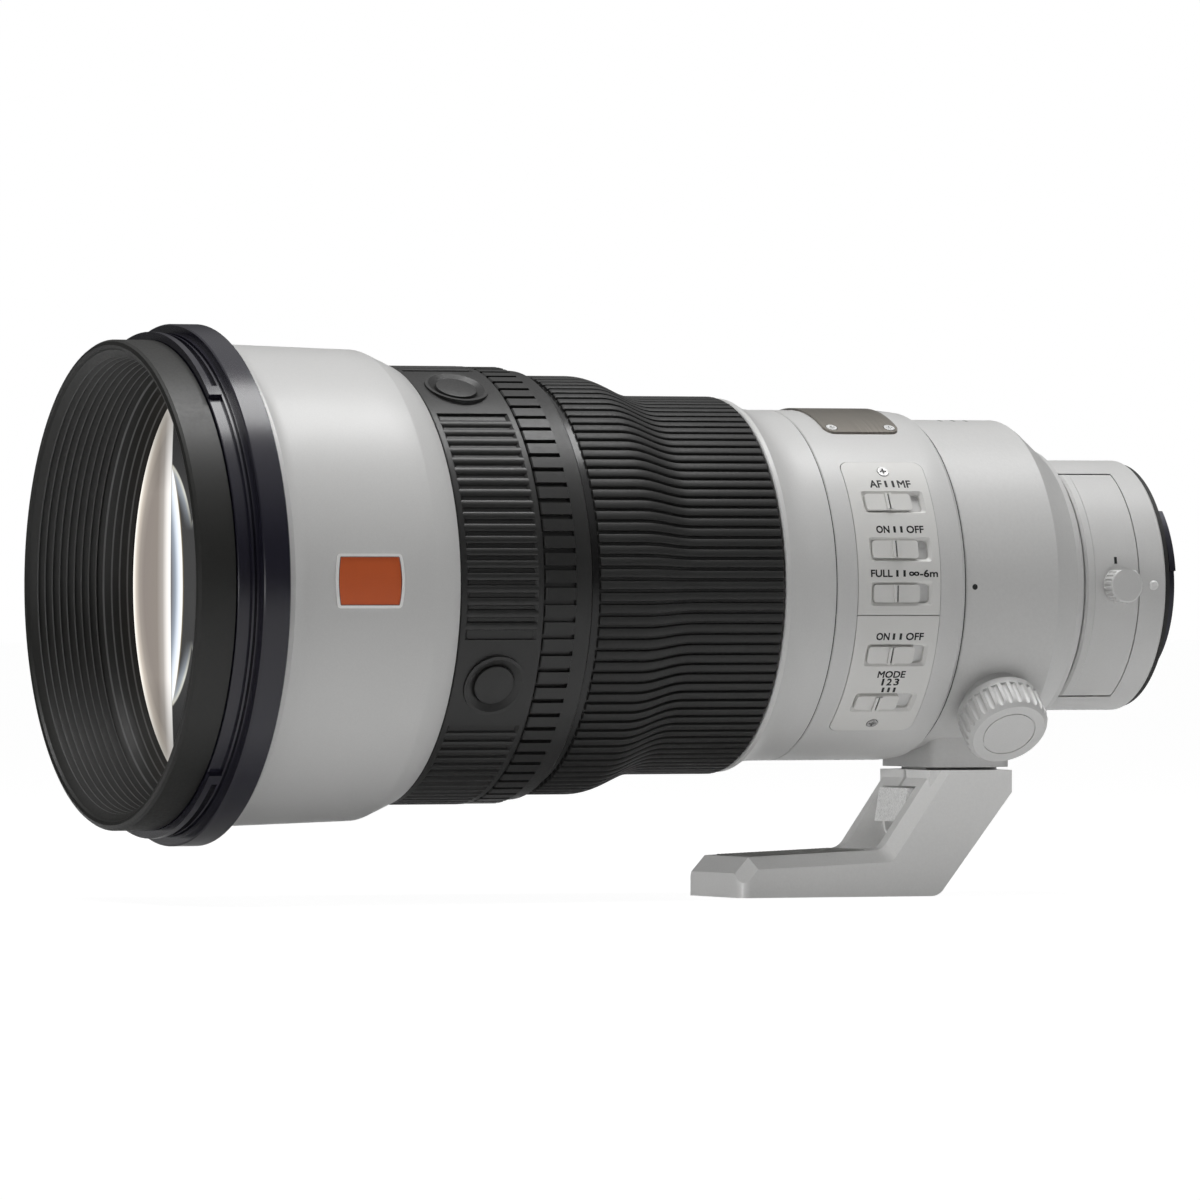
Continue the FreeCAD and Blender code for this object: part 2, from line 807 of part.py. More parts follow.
badge_shell = turned("badge_shell", [
    (badge_front + 1, barrel_surface(badge_front + 1)),
    (badge_front + 1, barrel_surface(badge_front + 1) + size("badge_rise")),
    (badge_rear - 1, barrel_surface(badge_rear - 1) + size("badge_rise")),
    (badge_rear - 1, barrel_surface(badge_rear - 1)),
])
badge_block = place_round(bowed_block(
    "badge_block",
    size("badge_length"),
    size("badge_width"),
    as_size(1.0),
    barrel_radius - 6,
    barrel_radius + 3,
), badge_middle, size("badge_angle"))
badge_dip_shell = turned("badge_dip_shell", [
    (badge_front, barrel_surface(badge_front) + size("badge_rise") - 0.15),
    (badge_front, barrel_surface(badge_front) + 2),
    (badge_rear, barrel_surface(badge_rear) + 2),
    (badge_rear, barrel_surface(badge_rear) + size("badge_rise") - 0.15),
])
badge_dip_block = place_round(bowed_block(
    "badge_dip_block",
    size("badge_length") - 1.8,
    size("badge_width") - 1.8,
    as_size(0.5),
    barrel_radius - 6,
    barrel_radius + 3,
), badge_middle, size("badge_angle"))
badge_dip = shared("badge_dip", badge_dip_shell, badge_dip_block)
keep(cut("badge_plate", shared("badge_blank", badge_shell, badge_block), badge_dip))

# Inner main tube that carries every ring
tube_nose = barrel_shoulder - 1.0
focus_step = focus_front - size("focus_front_length")
bulkhead_front = focus_step + 5.0
bulkhead_rear = bulkhead_front - size("bulkhead_length")
cone_front = collar_rear + size("collar_bore_cone_front")
cone_rear = collar_rear + size("collar_bore_cone_rear")
tube_tail = rear_barrel_front + seat_gap
rod_place = size("rod_ring_radius")
rod_hole = size("rod_radius") + slide_gap
main_tube = turned("main_tube_blank", [
    (tube_nose, core),
    (focus_step, core),
    (focus_step, focus_core),
    (focus_rear, focus_core),
    (focus_rear, switch_core),
    (switch_rear, switch_core),
    (switch_rear, collar_core),
    (cone_front, collar_core),
    (cone_rear, rear_core),
    (tube_tail, rear_core),
    (tube_tail, rear_core - core_wall),
    (cone_rear, rear_core - core_wall),
    (cone_front, collar_core - core_wall),
    (switch_rear + core_wall, collar_core - core_wall),
    (switch_rear + core_wall, switch_core - core_wall),
    (focus_rear + core_wall, switch_core - core_wall),
    (focus_rear + core_wall, focus_core - core_wall - 0.2),
    (bulkhead_rear, focus_core - core_wall - 0.2),
    (bulkhead_rear, size("bulkhead_radius")),
    (bulkhead_front, size("bulkhead_radius")),
    (bulkhead_front, core - core_wall),
    (tube_nose, core - core_wall),
])
rod_front = bulkhead_rear + 1.5
rod_rear = focus_rear + core_wall - 1.5
rod_holes = [
    rod("upper_rod_hole", rod_front + 0.2, rod_rear - 0.2, rod_hole, 0, rod_place),
    rod("lower_rod_hole", rod_front + 0.2, rod_rear - 0.2, rod_hole, 0, -rod_place),
]
keep(cut("main_tube", main_tube, *rod_holes))

guide_rods = group(
    "guide_rods",
    rod("upper_rod", rod_front, rod_rear, size("rod_radius"), 0, rod_place),
    rod("lower_rod", rod_front, rod_rear, size("rod_radius"), 0, -rod_place),
)
keep(guide_rods)

# Button ring with four round pads
button_middle = (button_front + button_rear) / 2
button_pocket_floor = button_ring_radius - 4.5
button_ring = doc.addObject("PartDesign::Body", "button_ring_blank")
groove_floor = button_ring_radius - size("groove_depth")
margin_front = button_front - size("button_margin")
margin_rear = button_rear + size("button_margin")
turn_outline(button_ring, "button_ring_turn", ahead([
    (button_front, ring_bore),
    (button_front, button_ring_radius - edge),
    (button_front - edge, button_ring_radius),
    (margin_front, button_ring_radius),
    (margin_front - 0.7, groove_floor),
    (margin_rear + 0.7, groove_floor),
    (margin_rear, button_ring_radius),
    (button_rear + edge, button_ring_radius),
    (button_rear, button_ring_radius - edge),
    (button_rear, ring_bore),
]))
smooth_field = turn_outline(button_ring, "smooth_field", ahead([
    (margin_front + 0.2, groove_floor - 0.5),
    (margin_front + 0.2, button_ring_radius),
    (margin_rear - 0.2, button_ring_radius),
    (margin_rear - 0.2, groove_floor - 0.5),
]), sweep=size("pad_sweep"))
repeat_round(button_ring, "smooth_fields", [smooth_field], "X_Axis", 4)
pad_sketch = place_sketch(button_ring, "XY_Plane", "button_pad_circle", button_pocket_floor)
draw_circle(pad_sketch, -button_middle, 0, size("button_pad_radius"))
pad_height = button_ring_radius + size("button_pad_rise") - button_pocket_floor
button_pad = add_pad(button_ring, "button_pad", pad_sketch, pad_height)
repeat_round(button_ring, "button_pads", [button_pad], "X_Axis", 4)
hole_sketch = place_sketch(button_ring, "XY_Plane", "button_hole_circle", button_pocket_floor)
draw_circle(hole_sketch, -button_middle, 0, size("button_radius") + slide_gap)
button_hole = add_pocket(button_ring, "button_hole", hole_sketch, pad_height + 1, along=True)
repeat_round(button_ring, "button_holes", [button_hole], "X_Axis", 4)
place_round(button_ring, 0, size("button_angle"))


def cone(label, distance, angle, low_radius, high_radius, low, high):
    """A cone that stands out from the axis between two heights."""
    body = doc.addObject("Part::Cone", label)
    bind(body, "Radius1", low_radius)
    bind(body, "Radius2", high_radius)
    bind(body, "Height", as_size(high) - low)
    return stand(body, distance, angle, low)


crater_top = button_ring_radius + size("button_pad_rise") + 0.01
craters = [
    cone(
        "crater_" + str(number + 1),
        button_middle,
        size("button_angle") - 90 * number,
        size("button_radius") + 0.1,
        size("crater_radius"),
        crater_top - size("crater_depth"),
        crater_top,
    )
    for number in range(4)
]
keep(cut("button_ring", button_ring, *craters))

# The four hold buttons
button_top = button_ring_radius + size("button_rise")
button_bottom = button_top - size("button_depth")
button_radius = size("button_radius")
for number in range(4):
    button = turned("hold_button_" + str(number + 1), [
        (0, button_bottom),
        (button_radius, button_bottom),
        (button_radius, button_top - 0.35),
        (button_radius - 0.12, button_top - 0.1),
        (button_radius - 0.4, button_top),
        (0, button_top),
    ], "V_Axis")
    place_round(button, button_middle, size("button_angle") - 90 * number)
    keep(button)

# Function ring with its row of blocks
function_ring = doc.addObject("PartDesign::Body", "function_ring")
band_front = function_rear + size("function_band_length")
band_radius = function_radius - size("function_band_drop")
turn_outline(function_ring, "function_ring_turn", ahead([
    (function_front, ring_bore),
    (function_front, function_radius - edge),
    (function_front - edge, function_radius),
    (band_front + edge, function_radius),
    (band_front, band_radius),
    (function_rear + edge, band_radius - 0.3),
    (function_rear, band_radius - 0.6),
    (function_rear, ring_bore),
]))
notch_floor = function_radius - size("function_notch_depth")
notch_half = size("function_notch_width") / 2
notch_sketch = place_sketch(function_ring, "YZ_Plane", "notch_outline", -(band_front + 0.2))
draw_outline(notch_sketch, [
    (-notch_half, notch_floor),
    (notch_half, notch_floor),
    (notch_half, function_radius + 1),
    (-notch_half, function_radius + 1),
])
notch = add_pocket(function_ring, "notch", notch_sketch, function_front - band_front + 1)
repeat_round(function_ring, "notches", [notch], "X_Axis", 80)
keep(function_ring)

# Focus ring: a sleeve and the rubber grip on it
focus_curve_rear = focus_step - size("focus_curve_length")
curve_shares = [0.0, 0.00615, 0.02447, 0.05450, 0.09549, 0.14645, 0.20611, 0.27300, 0.34549, 0.42178,
                0.5, 0.57822, 0.65451, 0.72700, 0.79389, 0.85355, 0.90451, 0.94550, 0.97553, 0.99385, 1.0]


def focus_curve(radius, drop):
    """The soft step down along the focus ring, from front to rear."""
    step = size("focus_curve_length") / (len(curve_shares) - 1)
    return [(focus_step - step * index, radius - drop * share) for index, share in enumerate(curve_shares)]


curve_drop = size("focus_curve_drop")
sleeve_drop = size("core_focus_step")
grip_front = focus_front - size("focus_band_length")
sleeve_line = focus_curve(sleeve_radius, curve_drop)
bore_line = focus_curve(ring_bore, sleeve_drop)
sleeve_outline = [
    (focus_front, ring_bore),
    (focus_front, grip_radius - edge),
    (focus_front - edge, grip_radius),
    (grip_front, grip_radius),
    (grip_front, sleeve_radius),
]
sleeve_outline += sleeve_line
sleeve_outline += [
    (focus_rear, sleeve_radius - curve_drop),
    (focus_rear, ring_bore - sleeve_drop),
]
sleeve_outline += list(reversed(bore_line))
keep(turned("focus_sleeve", sleeve_outline))
grip_outline = [(grip_front, sleeve_radius), (grip_front, grip_radius)]
grip_outline += focus_curve(grip_radius, curve_drop)
grip_outline += [
    (focus_rear + edge, grip_radius - curve_drop),
    (focus_rear, grip_radius - curve_drop - edge),
    (focus_rear, sleeve_radius - curve_drop),
]
grip_outline += list(reversed(sleeve_line))
keep(turned("focus_grip", grip_outline))

# Painted trim ring behind the focus ring
trim_radius = switch_radius
trim_lip_radius = trim_radius + size("trim_lip")
keep(turned("trim_ring", [
    (trim_front, switch_core + seat_gap),
    (trim_front, trim_lip_radius - edge),
    (trim_front - edge, trim_lip_radius),
    (trim_front - 1.4, trim_lip_radius),
    (trim_front - 1.9, trim_lip_radius - 0.3),
    (trim_front - 3.0, trim_radius + 1.75),
    (trim_front - 4.4, trim_radius + 1.0),
    (trim_front - 6.0, trim_radius + 0.45),
    (trim_front - 7.6, trim_radius + 0.15),
    (trim_front - 9.4, trim_radius),
    (trim_rear, trim_radius),
    (trim_rear, switch_core + seat_gap),
]))

# Switch barrel with recesses for its panels and screws
panel_front = switch_front - size("panel_front")
panel_middle = panel_front - size("panel_length") / 2
panel_radius = switch_radius + size("panel_rise")
panel_floor = panel_radius - size("panel_thickness")


def radial_edges(shape, end):
    """The two short corner edges at one end of a slab on top of the lens: 1 for the far end, -1 for the near."""
    names = {}
    for index, one in enumerate(shape.Edges, start=1):
        if len(one.Vertexes) != 2:
            continue
        first, last = one.Vertexes[0].Point, one.Vertexes[1].Point
        reach = abs((first.y ** 2 + first.z ** 2) ** 0.5 - (last.y ** 2 + last.z ** 2) ** 0.5)
        if abs(first.x - last.x) < 0.01 and reach > 0.2:
            names["Edge" + str(index)] = end * (first.y + last.y)
    farthest = max(names.values())
    return [name for name, place in names.items() if place > farthest - 0.01]


def panel_slab(label, angle, sweep, end, grow, low, high):
    """A curved slab that follows the barrel, with rounded corners at its upper (1) or lower (-1) end."""
    panel_rear = panel_front - size("panel_length")
    slab = band(label, panel_front + grow, panel_rear - grow, high, low, sweep=sweep + as_size(grow) * 2.7)
    doc.recompute()
    soften(slab, label + "_corners", slab.Tip, radial_edges(slab.Tip.Shape, end), size("plate_corner"))
    return place_round(slab, 0, angle)


panel_border = size("panel_border")
panel_settings = (
    ("upper_switch_panel", size("upper_panel_angle"), size("upper_panel_sweep"), 1),
    ("lower_switch_panel", size("lower_panel_angle"), size("lower_panel_sweep"), -1),
)
name_plate_front = switch_front - size("name_plate_front")
name_plate_rear = name_plate_front - size("name_plate_length")
name_plate_middle = (name_plate_front + name_plate_rear) / 2
screw_radius = size("screw_radius")
screw_hole = screw_radius + 0.16
name_screw_places = [
    (name_plate_front - 2.2, 62.3),
    (name_plate_rear + 2.2, 62.3),
    (name_plate_front - 2.2, 117.7),
    (name_plate_rear + 2.2, 117.7),
]
panel_screw_places = [(panel_middle, 39.8), (panel_middle, -51.3)]
name_screw_low = switch_radius - 1.05
recesses = [
    panel_slab(label + "_recess", angle, sweep, end, panel_border, panel_floor, panel_radius + 2)
    for label, angle, sweep, end in panel_settings
]
recesses += [
    post("name_screw_seat_" + str(number), distance, as_size(angle), screw_hole, name_screw_low, switch_radius + 1)
    for number, (distance, angle) in enumerate(name_screw_places, start=1)
]
switch_barrel_blank = turned("switch_barrel_blank", [
    (switch_front, switch_core + seat_gap),
    (switch_front, switch_radius - edge),
    (switch_front - edge, switch_radius),
    (switch_rear + size("switch_rear_length"), switch_radius),
    (switch_rear + 1.2, switch_radius - size("switch_rear_drop")),
    (switch_rear + 0.6, switch_radius - size("switch_rear_drop") - 0.4),
    (switch_rear, switch_radius - size("switch_rear_drop") - 1.1),
    (switch_rear, switch_core + seat_gap),
])
keep(cut("switch_barrel", switch_barrel_blank, *recesses))

# Slide switches and their windows
window_length = size("switch_window_length")
switch_settings = (
    ("focus_mode_switch", size("focus_switch_angle"), size("switch_length")),
    ("override_switch", size("override_switch_angle"), size("switch_length")),
    ("range_switch", size("range_switch_angle"), size("switch_length")),
    ("stabiliser_switch", size("stabiliser_switch_angle"), size("switch_length")),
    ("stabiliser_mode_switch", size("mode_switch_angle"), size("mode_switch_length")),
)
window_front = switch_front - size("switch_front") - size("switch_bevel") / 2
window_middle = window_front - window_length / 2
bevel = size("switch_bevel")
windows = {"upper_switch_panel": [], "lower_switch_panel": []}
for index, (label, angle, length) in enumerate(switch_settings):
    opening = rounded_block(
        label + "_opening",
        window_length,
        size("switch_window_width"),
        as_size(1.0),
        panel_floor - 1,
        panel_radius + 2,
    )
    flare = rounded_block(
        label + "_flare",
        window_length,
        size("switch_window_width"),
        as_size(1.0),
        panel_radius - bevel,
        panel_radius + 0.4,
        taper=45,
    )
    holder = "upper_switch_panel" if index < 3 else "lower_switch_panel"
    windows[holder].append(place_round(opening, window_middle, angle))
    windows[holder].append(place_round(flare, window_middle, angle))

for number, (label, angle, sweep, end) in enumerate(panel_settings):
    distance, screw_angle = panel_screw_places[number]
    screw_cut = post(label + "_screw_hole", distance, as_size(screw_angle), screw_hole, panel_floor - 1, panel_radius + 1)
    slab = panel_slab(label + "_slab", angle, sweep, end, 0, panel_floor, panel_radius)
    keep(cut(label, slab, screw_cut, *windows[label]))

slider_gap = 0.1
rib_half = size("switch_rib_width") / 2
rib_place = rib_half + size("switch_rib_gap") / 2
for label, angle, length in switch_settings:
    slider_middle = window_front - slider_gap - length / 2
    slider = doc.addObject("PartDesign::Body", label)
    half_length = length / 2
    half_width = size("switch_width") / 2
    slider_low = panel_floor + seat_gap
    slider_top = panel_radius + size("switch_rise")
    base_sketch = place_sketch(slider, "XY_Plane", label + "_outline", slider_low)
    draw_outline(base_sketch, [
        (-half_length, -half_width),
        (half_length, -half_width),
        (half_length, half_width),
        (-half_length, half_width),
    ])
    base_pad = add_pad(slider, label + "_pad", base_sketch, panel_radius + 0.1 - slider_low)
    doc.recompute()
    soften(slider, label + "_corners", base_pad, upright_edges(base_pad.Shape), as_size(0.8))
    for side, middle in (("front", -rib_place), ("rear", rib_place)):
        rib_sketch = place_sketch(slider, "XY_Plane", label + "_" + side + "_rib_outline", panel_radius)
        draw_outline(rib_sketch, [
            (middle - rib_half, -half_width),
            (middle + rib_half, -half_width),
            (middle + rib_half, half_width),
            (middle - rib_half, half_width),
        ])
        rib = add_pad(slider, label + "_" + side + "_rib", rib_sketch, slider_top - panel_radius)
        slider.Tip = rib
    place_round(slider, slider_middle, angle)
    keep(slider)

# Name plate: bare, held by four screws
name_shell = band(
    "name_shell",
    name_plate_front,
    name_plate_rear,
    switch_radius + size("name_plate_rise"),
    switch_radius,
)
name_block = place_round(rounded_block(
    "name_block",
    size("name_plate_length"),
    size("name_plate_width"),
    size("plate_corner"),
    switch_radius - 10,
    switch_radius + 3,
), name_plate_middle, as_size(90))
name_holes = [
    post("name_screw_hole_" + str(number), distance, as_size(angle), screw_hole, switch_radius - 1, switch_radius + 2)
    for number, (distance, angle) in enumerate(name_screw_places, start=1)
]
keep(cut("name_plate", shared("name_plate_blank", name_shell, name_block), *name_holes))


def cover_screw(label, distance, angle, low):
    """A small flush screw with a crossed slot."""
    high = low + size("screw_height")
    head = post(label + "_head", distance, as_size(angle), screw_radius, low, high)
    half_slot = size("screw_slot") / 2
    arms = []
    for arm, (half_x, half_y) in enumerate(((half_slot, screw_radius * 0.65), (screw_radius * 0.65, half_slot))):
        slot = rounded_block(
            label + "_slot_" + str(arm),
            half_x * 2,
            half_y * 2,
            as_size(0.05),
            high - 0.5,
            high + 1,
        )
        arms.append(place_round(slot, distance, as_size(angle)))
    return cut(label, head, *arms)


screws = []
for number, (distance, angle) in enumerate(name_screw_places, start=1):
    screws.append(cover_screw("name_screw_" + str(number), distance, angle, name_screw_low))
for number, (distance, angle) in enumerate(panel_screw_places, start=1):
    screws.append(cover_screw("panel_screw_" + str(number), distance, angle, panel_floor + 0.05))
keep(group("cover_screws", *screws))

# Tripod collar: ring, base block and dovetail rail
block_front = collar_front - size("block_front")
block_rear = block_front - size("block_length")
block_bottom = -(collar_radius + size("block_drop"))
block_half = size("block_width") / 2
collar = doc.addObject("PartDesign::Body", "collar_blank")
cone_start = collar_rear + size("collar_cone_start")
cone_radius = collar_radius - size("collar_cone_drop")
turn_outline(collar, "collar_turn", ahead([
    (collar_front, collar_bore),
    (collar_front, collar_radius - edge),
    (collar_front - edge, collar_radius),
    (cone_start, collar_radius),
    (cone_start - 1.0, collar_radius - 0.6),
    (cone_start - size("collar_cone_length"), cone_radius),
    (collar_rear + edge, cone_radius - 0.3),
    (collar_rear, cone_radius - 0.6),
    (collar_rear, rear_core + seat_gap),
    (cone_rear, rear_core + seat_gap),
    (cone_front, collar_bore),
]))
block_sketch = draw_outline(place_sketch(collar, "XY_Plane", "block_outline", block_bottom), [
    (-block_front, -block_half),
    (-block_rear, -block_half),
    (-block_rear, block_half),
    (-block_front, block_half),
])
block_pad = add_pad(collar, "block_pad", block_sketch, -block_bottom - collar_bore - 0.5)
rail_half = size("rail_width") / 2
rail_depth = size("rail_depth")
rail_front = block_front - 2.1
rail_sketch = draw_outline(place_sketch(collar, "YZ_Plane", "rail_outline", -rail_front), [
    (-rail_half, block_bottom + 0.5),
    (-rail_half, block_bottom),
    (-rail_half - size("rail_flare"), block_bottom - rail_depth),
    (rail_half + size("rail_flare"), block_bottom - rail_depth),
    (rail_half, block_bottom),
    (rail_half, block_bottom + 0.5),
])
rail_pad = add_pad(collar, "rail_pad", rail_sketch, rail_front - block_rear)
doc.recompute()


def block_corner_edges(shape):
    """The upright corner edges of the base block."""
    names = []
    for index, one in enumerate(shape.Edges, start=1):
        if len(one.Vertexes) != 2:
            continue
        first, last = one.Vertexes[0].Point, one.Vertexes[1].Point
        straight_up = abs(first.x - last.x) < 0.01 and abs(first.y - last.y) < 0.01
        if straight_up and abs(abs(first.y) - block_half.number) < 0.01:
            names.append("Edge" + str(index))
    return names


soften(collar, "block_corners", rail_pad, block_corner_edges(rail_pad.Shape), size("block_corner"))
knob_distance = collar_front - size("knob_front")
knob_angle = size("knob_angle")
knob_foot = collar_radius + 2.3
collar_boss = post("collar_boss", knob_distance, knob_angle, as_size(8.0), collar_bore + 2, knob_foot - seat_gap)
collar_screw_hole = post(
    "collar_screw_hole",
    knob_distance,
    knob_angle,
    size("knob_shaft_radius") + slide_gap,
    collar_bore - 3,
    knob_foot + 2,
)
keep(cut("collar_ring", join("collar_with_boss", collar, collar_boss), collar_screw_hole))

# Clamp knob
knob = doc.addObject("PartDesign::Body", "collar_knob")
knob_radius = size("knob_radius")
knob_top = knob_foot + size("knob_height")
knob_shaft = size("knob_shaft_radius")
turn_outline(knob, "knob_turn", [
    (0, collar_core + 0.6),
    (knob_shaft, collar_core + 0.6),
    (knob_shaft, knob_foot),
    (knob_radius - 1.0, knob_foot),
    (knob_radius - 0.3, knob_foot + 0.6),
    (knob_radius, knob_foot + 2.4),
    (knob_radius, knob_top - 1.8),
    (knob_radius - 0.4, knob_top - 0.9),
    (knob_radius - 1.3, knob_top),
    (knob_radius - 3.7, knob_top),
    (knob_radius - 3.7, knob_top - 0.3),
    (knob_radius - 4.0, knob_top - 0.3),
    (knob_radius - 4.0, knob_top),
    (0, knob_top),
], "V_Axis")
flute_sketch = place_sketch(knob, "XY_Plane", "flute_circle", knob_foot + 2.6)
draw_circle(flute_sketch, knob_radius + 0.25, 0, size("knob_flute_radius"))
flute = add_pocket(knob, "flute", flute_sketch, size("knob_height"), along=True)
repeat_round(knob, "flutes", [flute], "Z_Axis", 28)
place_round(knob, knob_distance, knob_angle)
keep(knob)

# Foot: side outline, fork, rail slot and tripod sockets
foot_top = block_bottom - size("foot_gap")
foot_bottom = foot_top - size("foot_depth")
foot_nose = block_front + size("foot_reach")
plate_front = foot_nose - size("foot_nose_length")
plate_rear = foot_nose - size("foot_plate_length")
plate_low_top = foot_bottom + size("foot_end_height") + size("foot_nose_rise")
plate_high_top = plate_low_top + size("foot_plate_rise")
jaw_bottom = foot_top - size("foot_jaw_height")
foot_bevel = size("foot_bevel")
heel = block_rear + size("foot_heel_length")


def side_edges(shape, first, last):
    """The two edges, one on each side of the foot, that run between two places of its outline."""
    names = []
    wanted = [(-place.number, height.number) for place, height in (first, last)]
    for index, one in enumerate(shape.Edges, start=1):
        if len(one.Vertexes) != 2:
            continue
        start, end = one.Vertexes[0].Point, one.Vertexes[1].Point
        if abs(start.y - end.y) > 0.01 or abs(start.y) < size("foot_width").number / 2 - 0.01:
            continue
        ends = sorted([(round(start.x, 2), round(start.z, 2)), (round(end.x, 2), round(end.z, 2))])
        if ends == sorted((round(across, 2), round(up, 2)) for across, up in wanted):
            names.append("Edge" + str(index))
    return names


plate = doc.addObject("PartDesign::Body", "foot_plate")
nose_low = (foot_nose, foot_bottom)
nose_high = (foot_nose, foot_bottom + size("foot_end_height"))
plate_start = (plate_front, plate_low_top)
plate_slope = size("foot_plate_rise") / (plate_front - plate_rear)
plate_inside = plate_rear - 12
plate_end = (plate_inside, plate_high_top + plate_slope * 12)
plate_sketch = draw_outline(place_sketch(plate, "XZ_Plane", "plate_outline"), ahead([
    nose_low,
    nose_high,
    plate_start,
    plate_end,
    (plate_inside, foot_bottom),
]))
plate_pad = add_pad(plate, "plate_pad", plate_sketch, size("foot_width"), middle=True)
doc.recompute()
plate_rims = side_edges(plate_pad.Shape, nose_high, plate_start) + side_edges(plate_pad.Shape, plate_start, plate_end)
plate_bevel = soften(plate, "plate_bevel", plate_pad, plate_rims, foot_bevel, flat=True)
doc.recompute()


def nose_edges(shape):
    """The upright edges at the front end of the plate."""
    names = []
    for index, one in enumerate(shape.Edges, start=1):
        points = [vertex.Point for vertex in one.Vertexes]
        if len(points) == 2 and all(abs(point.x + foot_nose.number) < 0.05 for point in points):
            if abs(points[0].z - points[1].z) > 1.0 and abs(points[0].y - points[1].y) < 0.01:
                names.append("Edge" + str(index))
    return names


soften(plate, "plate_nose_corners", plate_bevel, nose_edges(plate_bevel.Shape), as_size(3.0))

# The two walls of the foot start as one block that leans over the plate
walls = doc.addObject("PartDesign::Body", "foot_walls")
wall_lean = size("foot_wall_lean")
wall_top = (plate_rear - wall_lean * (foot_top - plate_high_top), foot_top)
wall_foot = (plate_rear + wall_lean * (plate_high_top - foot_bottom), foot_bottom)
walls_sketch = draw_outline(place_sketch(walls, "XZ_Plane", "walls_outline"), ahead([
    wall_foot,
    wall_top,
    (block_rear, foot_top),
    (block_rear, foot_top - size("foot_heel_height")),
    (heel, foot_bottom),
]))
walls_pad = add_pad(walls, "walls_pad", walls_sketch, size("foot_width"), middle=True)
doc.recompute()
wall_rims = side_edges(walls_pad.Shape, wall_foot, wall_top)
walls_bevel = soften(walls, "walls_bevel", walls_pad, wall_rims, foot_bevel, flat=True)
doc.recompute()


def cross_edges(shape, distance, height):
    """The edges that run across the foot at one place of its side outline."""
    names = []
    for index, one in enumerate(shape.Edges, start=1):
        points = [vertex.Point for vertex in one.Vertexes]
        near = [abs(point.x + distance.number) < 0.05 and abs(point.z - height.number) < 0.05 for point in points]
        if len(points) == 2 and all(near):
            names.append("Edge" + str(index))
    return names


soften(walls, "heel_bend", walls_bevel, cross_edges(walls_bevel.Shape, heel, foot_bottom), as_size(4.0))
jaw_half = size("foot_width") / 2 - 1.6
jaws = box("jaws", block_front - 8, block_front + 0.3, -jaw_half, jaw_half, jaw_bottom, foot_top)
foot_blank = join("foot_blank", plate, walls, jaws)
foot_blank.Refine = True
doc.recompute()


def bend_edges(shape):
    """The edges of the inner bend where the walls rise from the plate."""
    found = []
    for index, one in enumerate(shape.Edges, start=1):
        points = [vertex.Point for vertex in one.Vertexes]
        in_bend = [
            abs(point.x + plate_rear.number) < 4.0 and abs(point.z - plate_high_top.number) < 4.0
            for point in points
        ]
        if len(points) == 2 and all(in_bend) and abs(points[0].y - points[1].y) > 0.5:
            found.append(index)
    return found


bent = doc.addObject("Part::Fillet", "foot_bend")
bent.Base = foot_blank
bent.Edges = [(index, 4.5, 4.5) for index in bend_edges(foot_blank.Shape)]
doc.recompute()


def across_block(label, outline, reach):
    """A block with this side outline that reaches the same distance to both sides."""
    body = doc.addObject("PartDesign::Body", label)
    sketch = draw_outline(place_sketch(body, "XZ_Plane", label + "_outline"), ahead(outline))
    add_pad(body, label + "_pad", sketch, as_size(reach) * 2, middle=True)
    return body


def along_block(label, outline, front, rear):
    """A block with this cross outline that runs along the lens between two distances ahead."""
    body = doc.addObject("PartDesign::Body", label)
    sketch = draw_outline(place_sketch(body, "YZ_Plane", label + "_outline", -as_size(front)), outline)
    add_pad(body, label + "_pad", sketch, as_size(front) - rear)
    return body


fork_half = size("foot_width") / 2 - size("foot_wall")
web_front = block_rear + size("foot_web") + 1.0
fork = across_block("fork", [
    (plate_rear + 8, plate_high_top),
    (heel - 5.5, plate_high_top),
    (web_front, jaw_bottom - 2.4),
    (web_front, jaw_bottom),
    (plate_rear + 8, jaw_bottom),
], fork_half)
slot_half = rail_half + seat_gap
slot_wide = slot_half + size("rail_flare")
slot_front = rail_front + seat_gap
rail_slot = along_block("rail_slot", [
    (-slot_half, block_bottom + 0.5),
    (-slot_half, block_bottom),
    (-slot_wide, block_bottom - rail_depth),
    (-slot_wide, jaw_bottom - 0.1),
    (slot_wide, jaw_bottom - 0.1),
    (slot_wide, block_bottom - rail_depth),
    (slot_half, block_bottom),
    (slot_half, block_bottom + 0.5),
], slot_front, block_rear - 2)
jaw_split = box(
    "jaw_split",
    block_front - 6,
    block_front + 2,
    -(size("foot_split") / 2),
    size("foot_split") / 2,
    jaw_bottom - 0.5,
    foot_top + 1,
)
pin_distance = block_front - 1.1
pin_height = jaw_bottom - 3.1
pin_radius = size("lever_pin_radius")


def cross_pin(label, distance, height, radius, reach):
    """A round pin that runs across the lens, the same reach to both sides."""
    shaft = doc.addObject("Part::Cylinder", label)
    turn = FreeCAD.Rotation(FreeCAD.Vector(1, 0, 0), 90)
    shaft.Placement = FreeCAD.Placement(FreeCAD.Vector(0, 0, 0), turn)
    bind(shaft, "Radius", radius)
    bind(shaft, "Height", reach * 2)
    bind(shaft, "Placement.Base.x", -distance)
    bind(shaft, "Placement.Base.y", reach)
    bind(shaft, "Placement.Base.z", height)
    return shaft


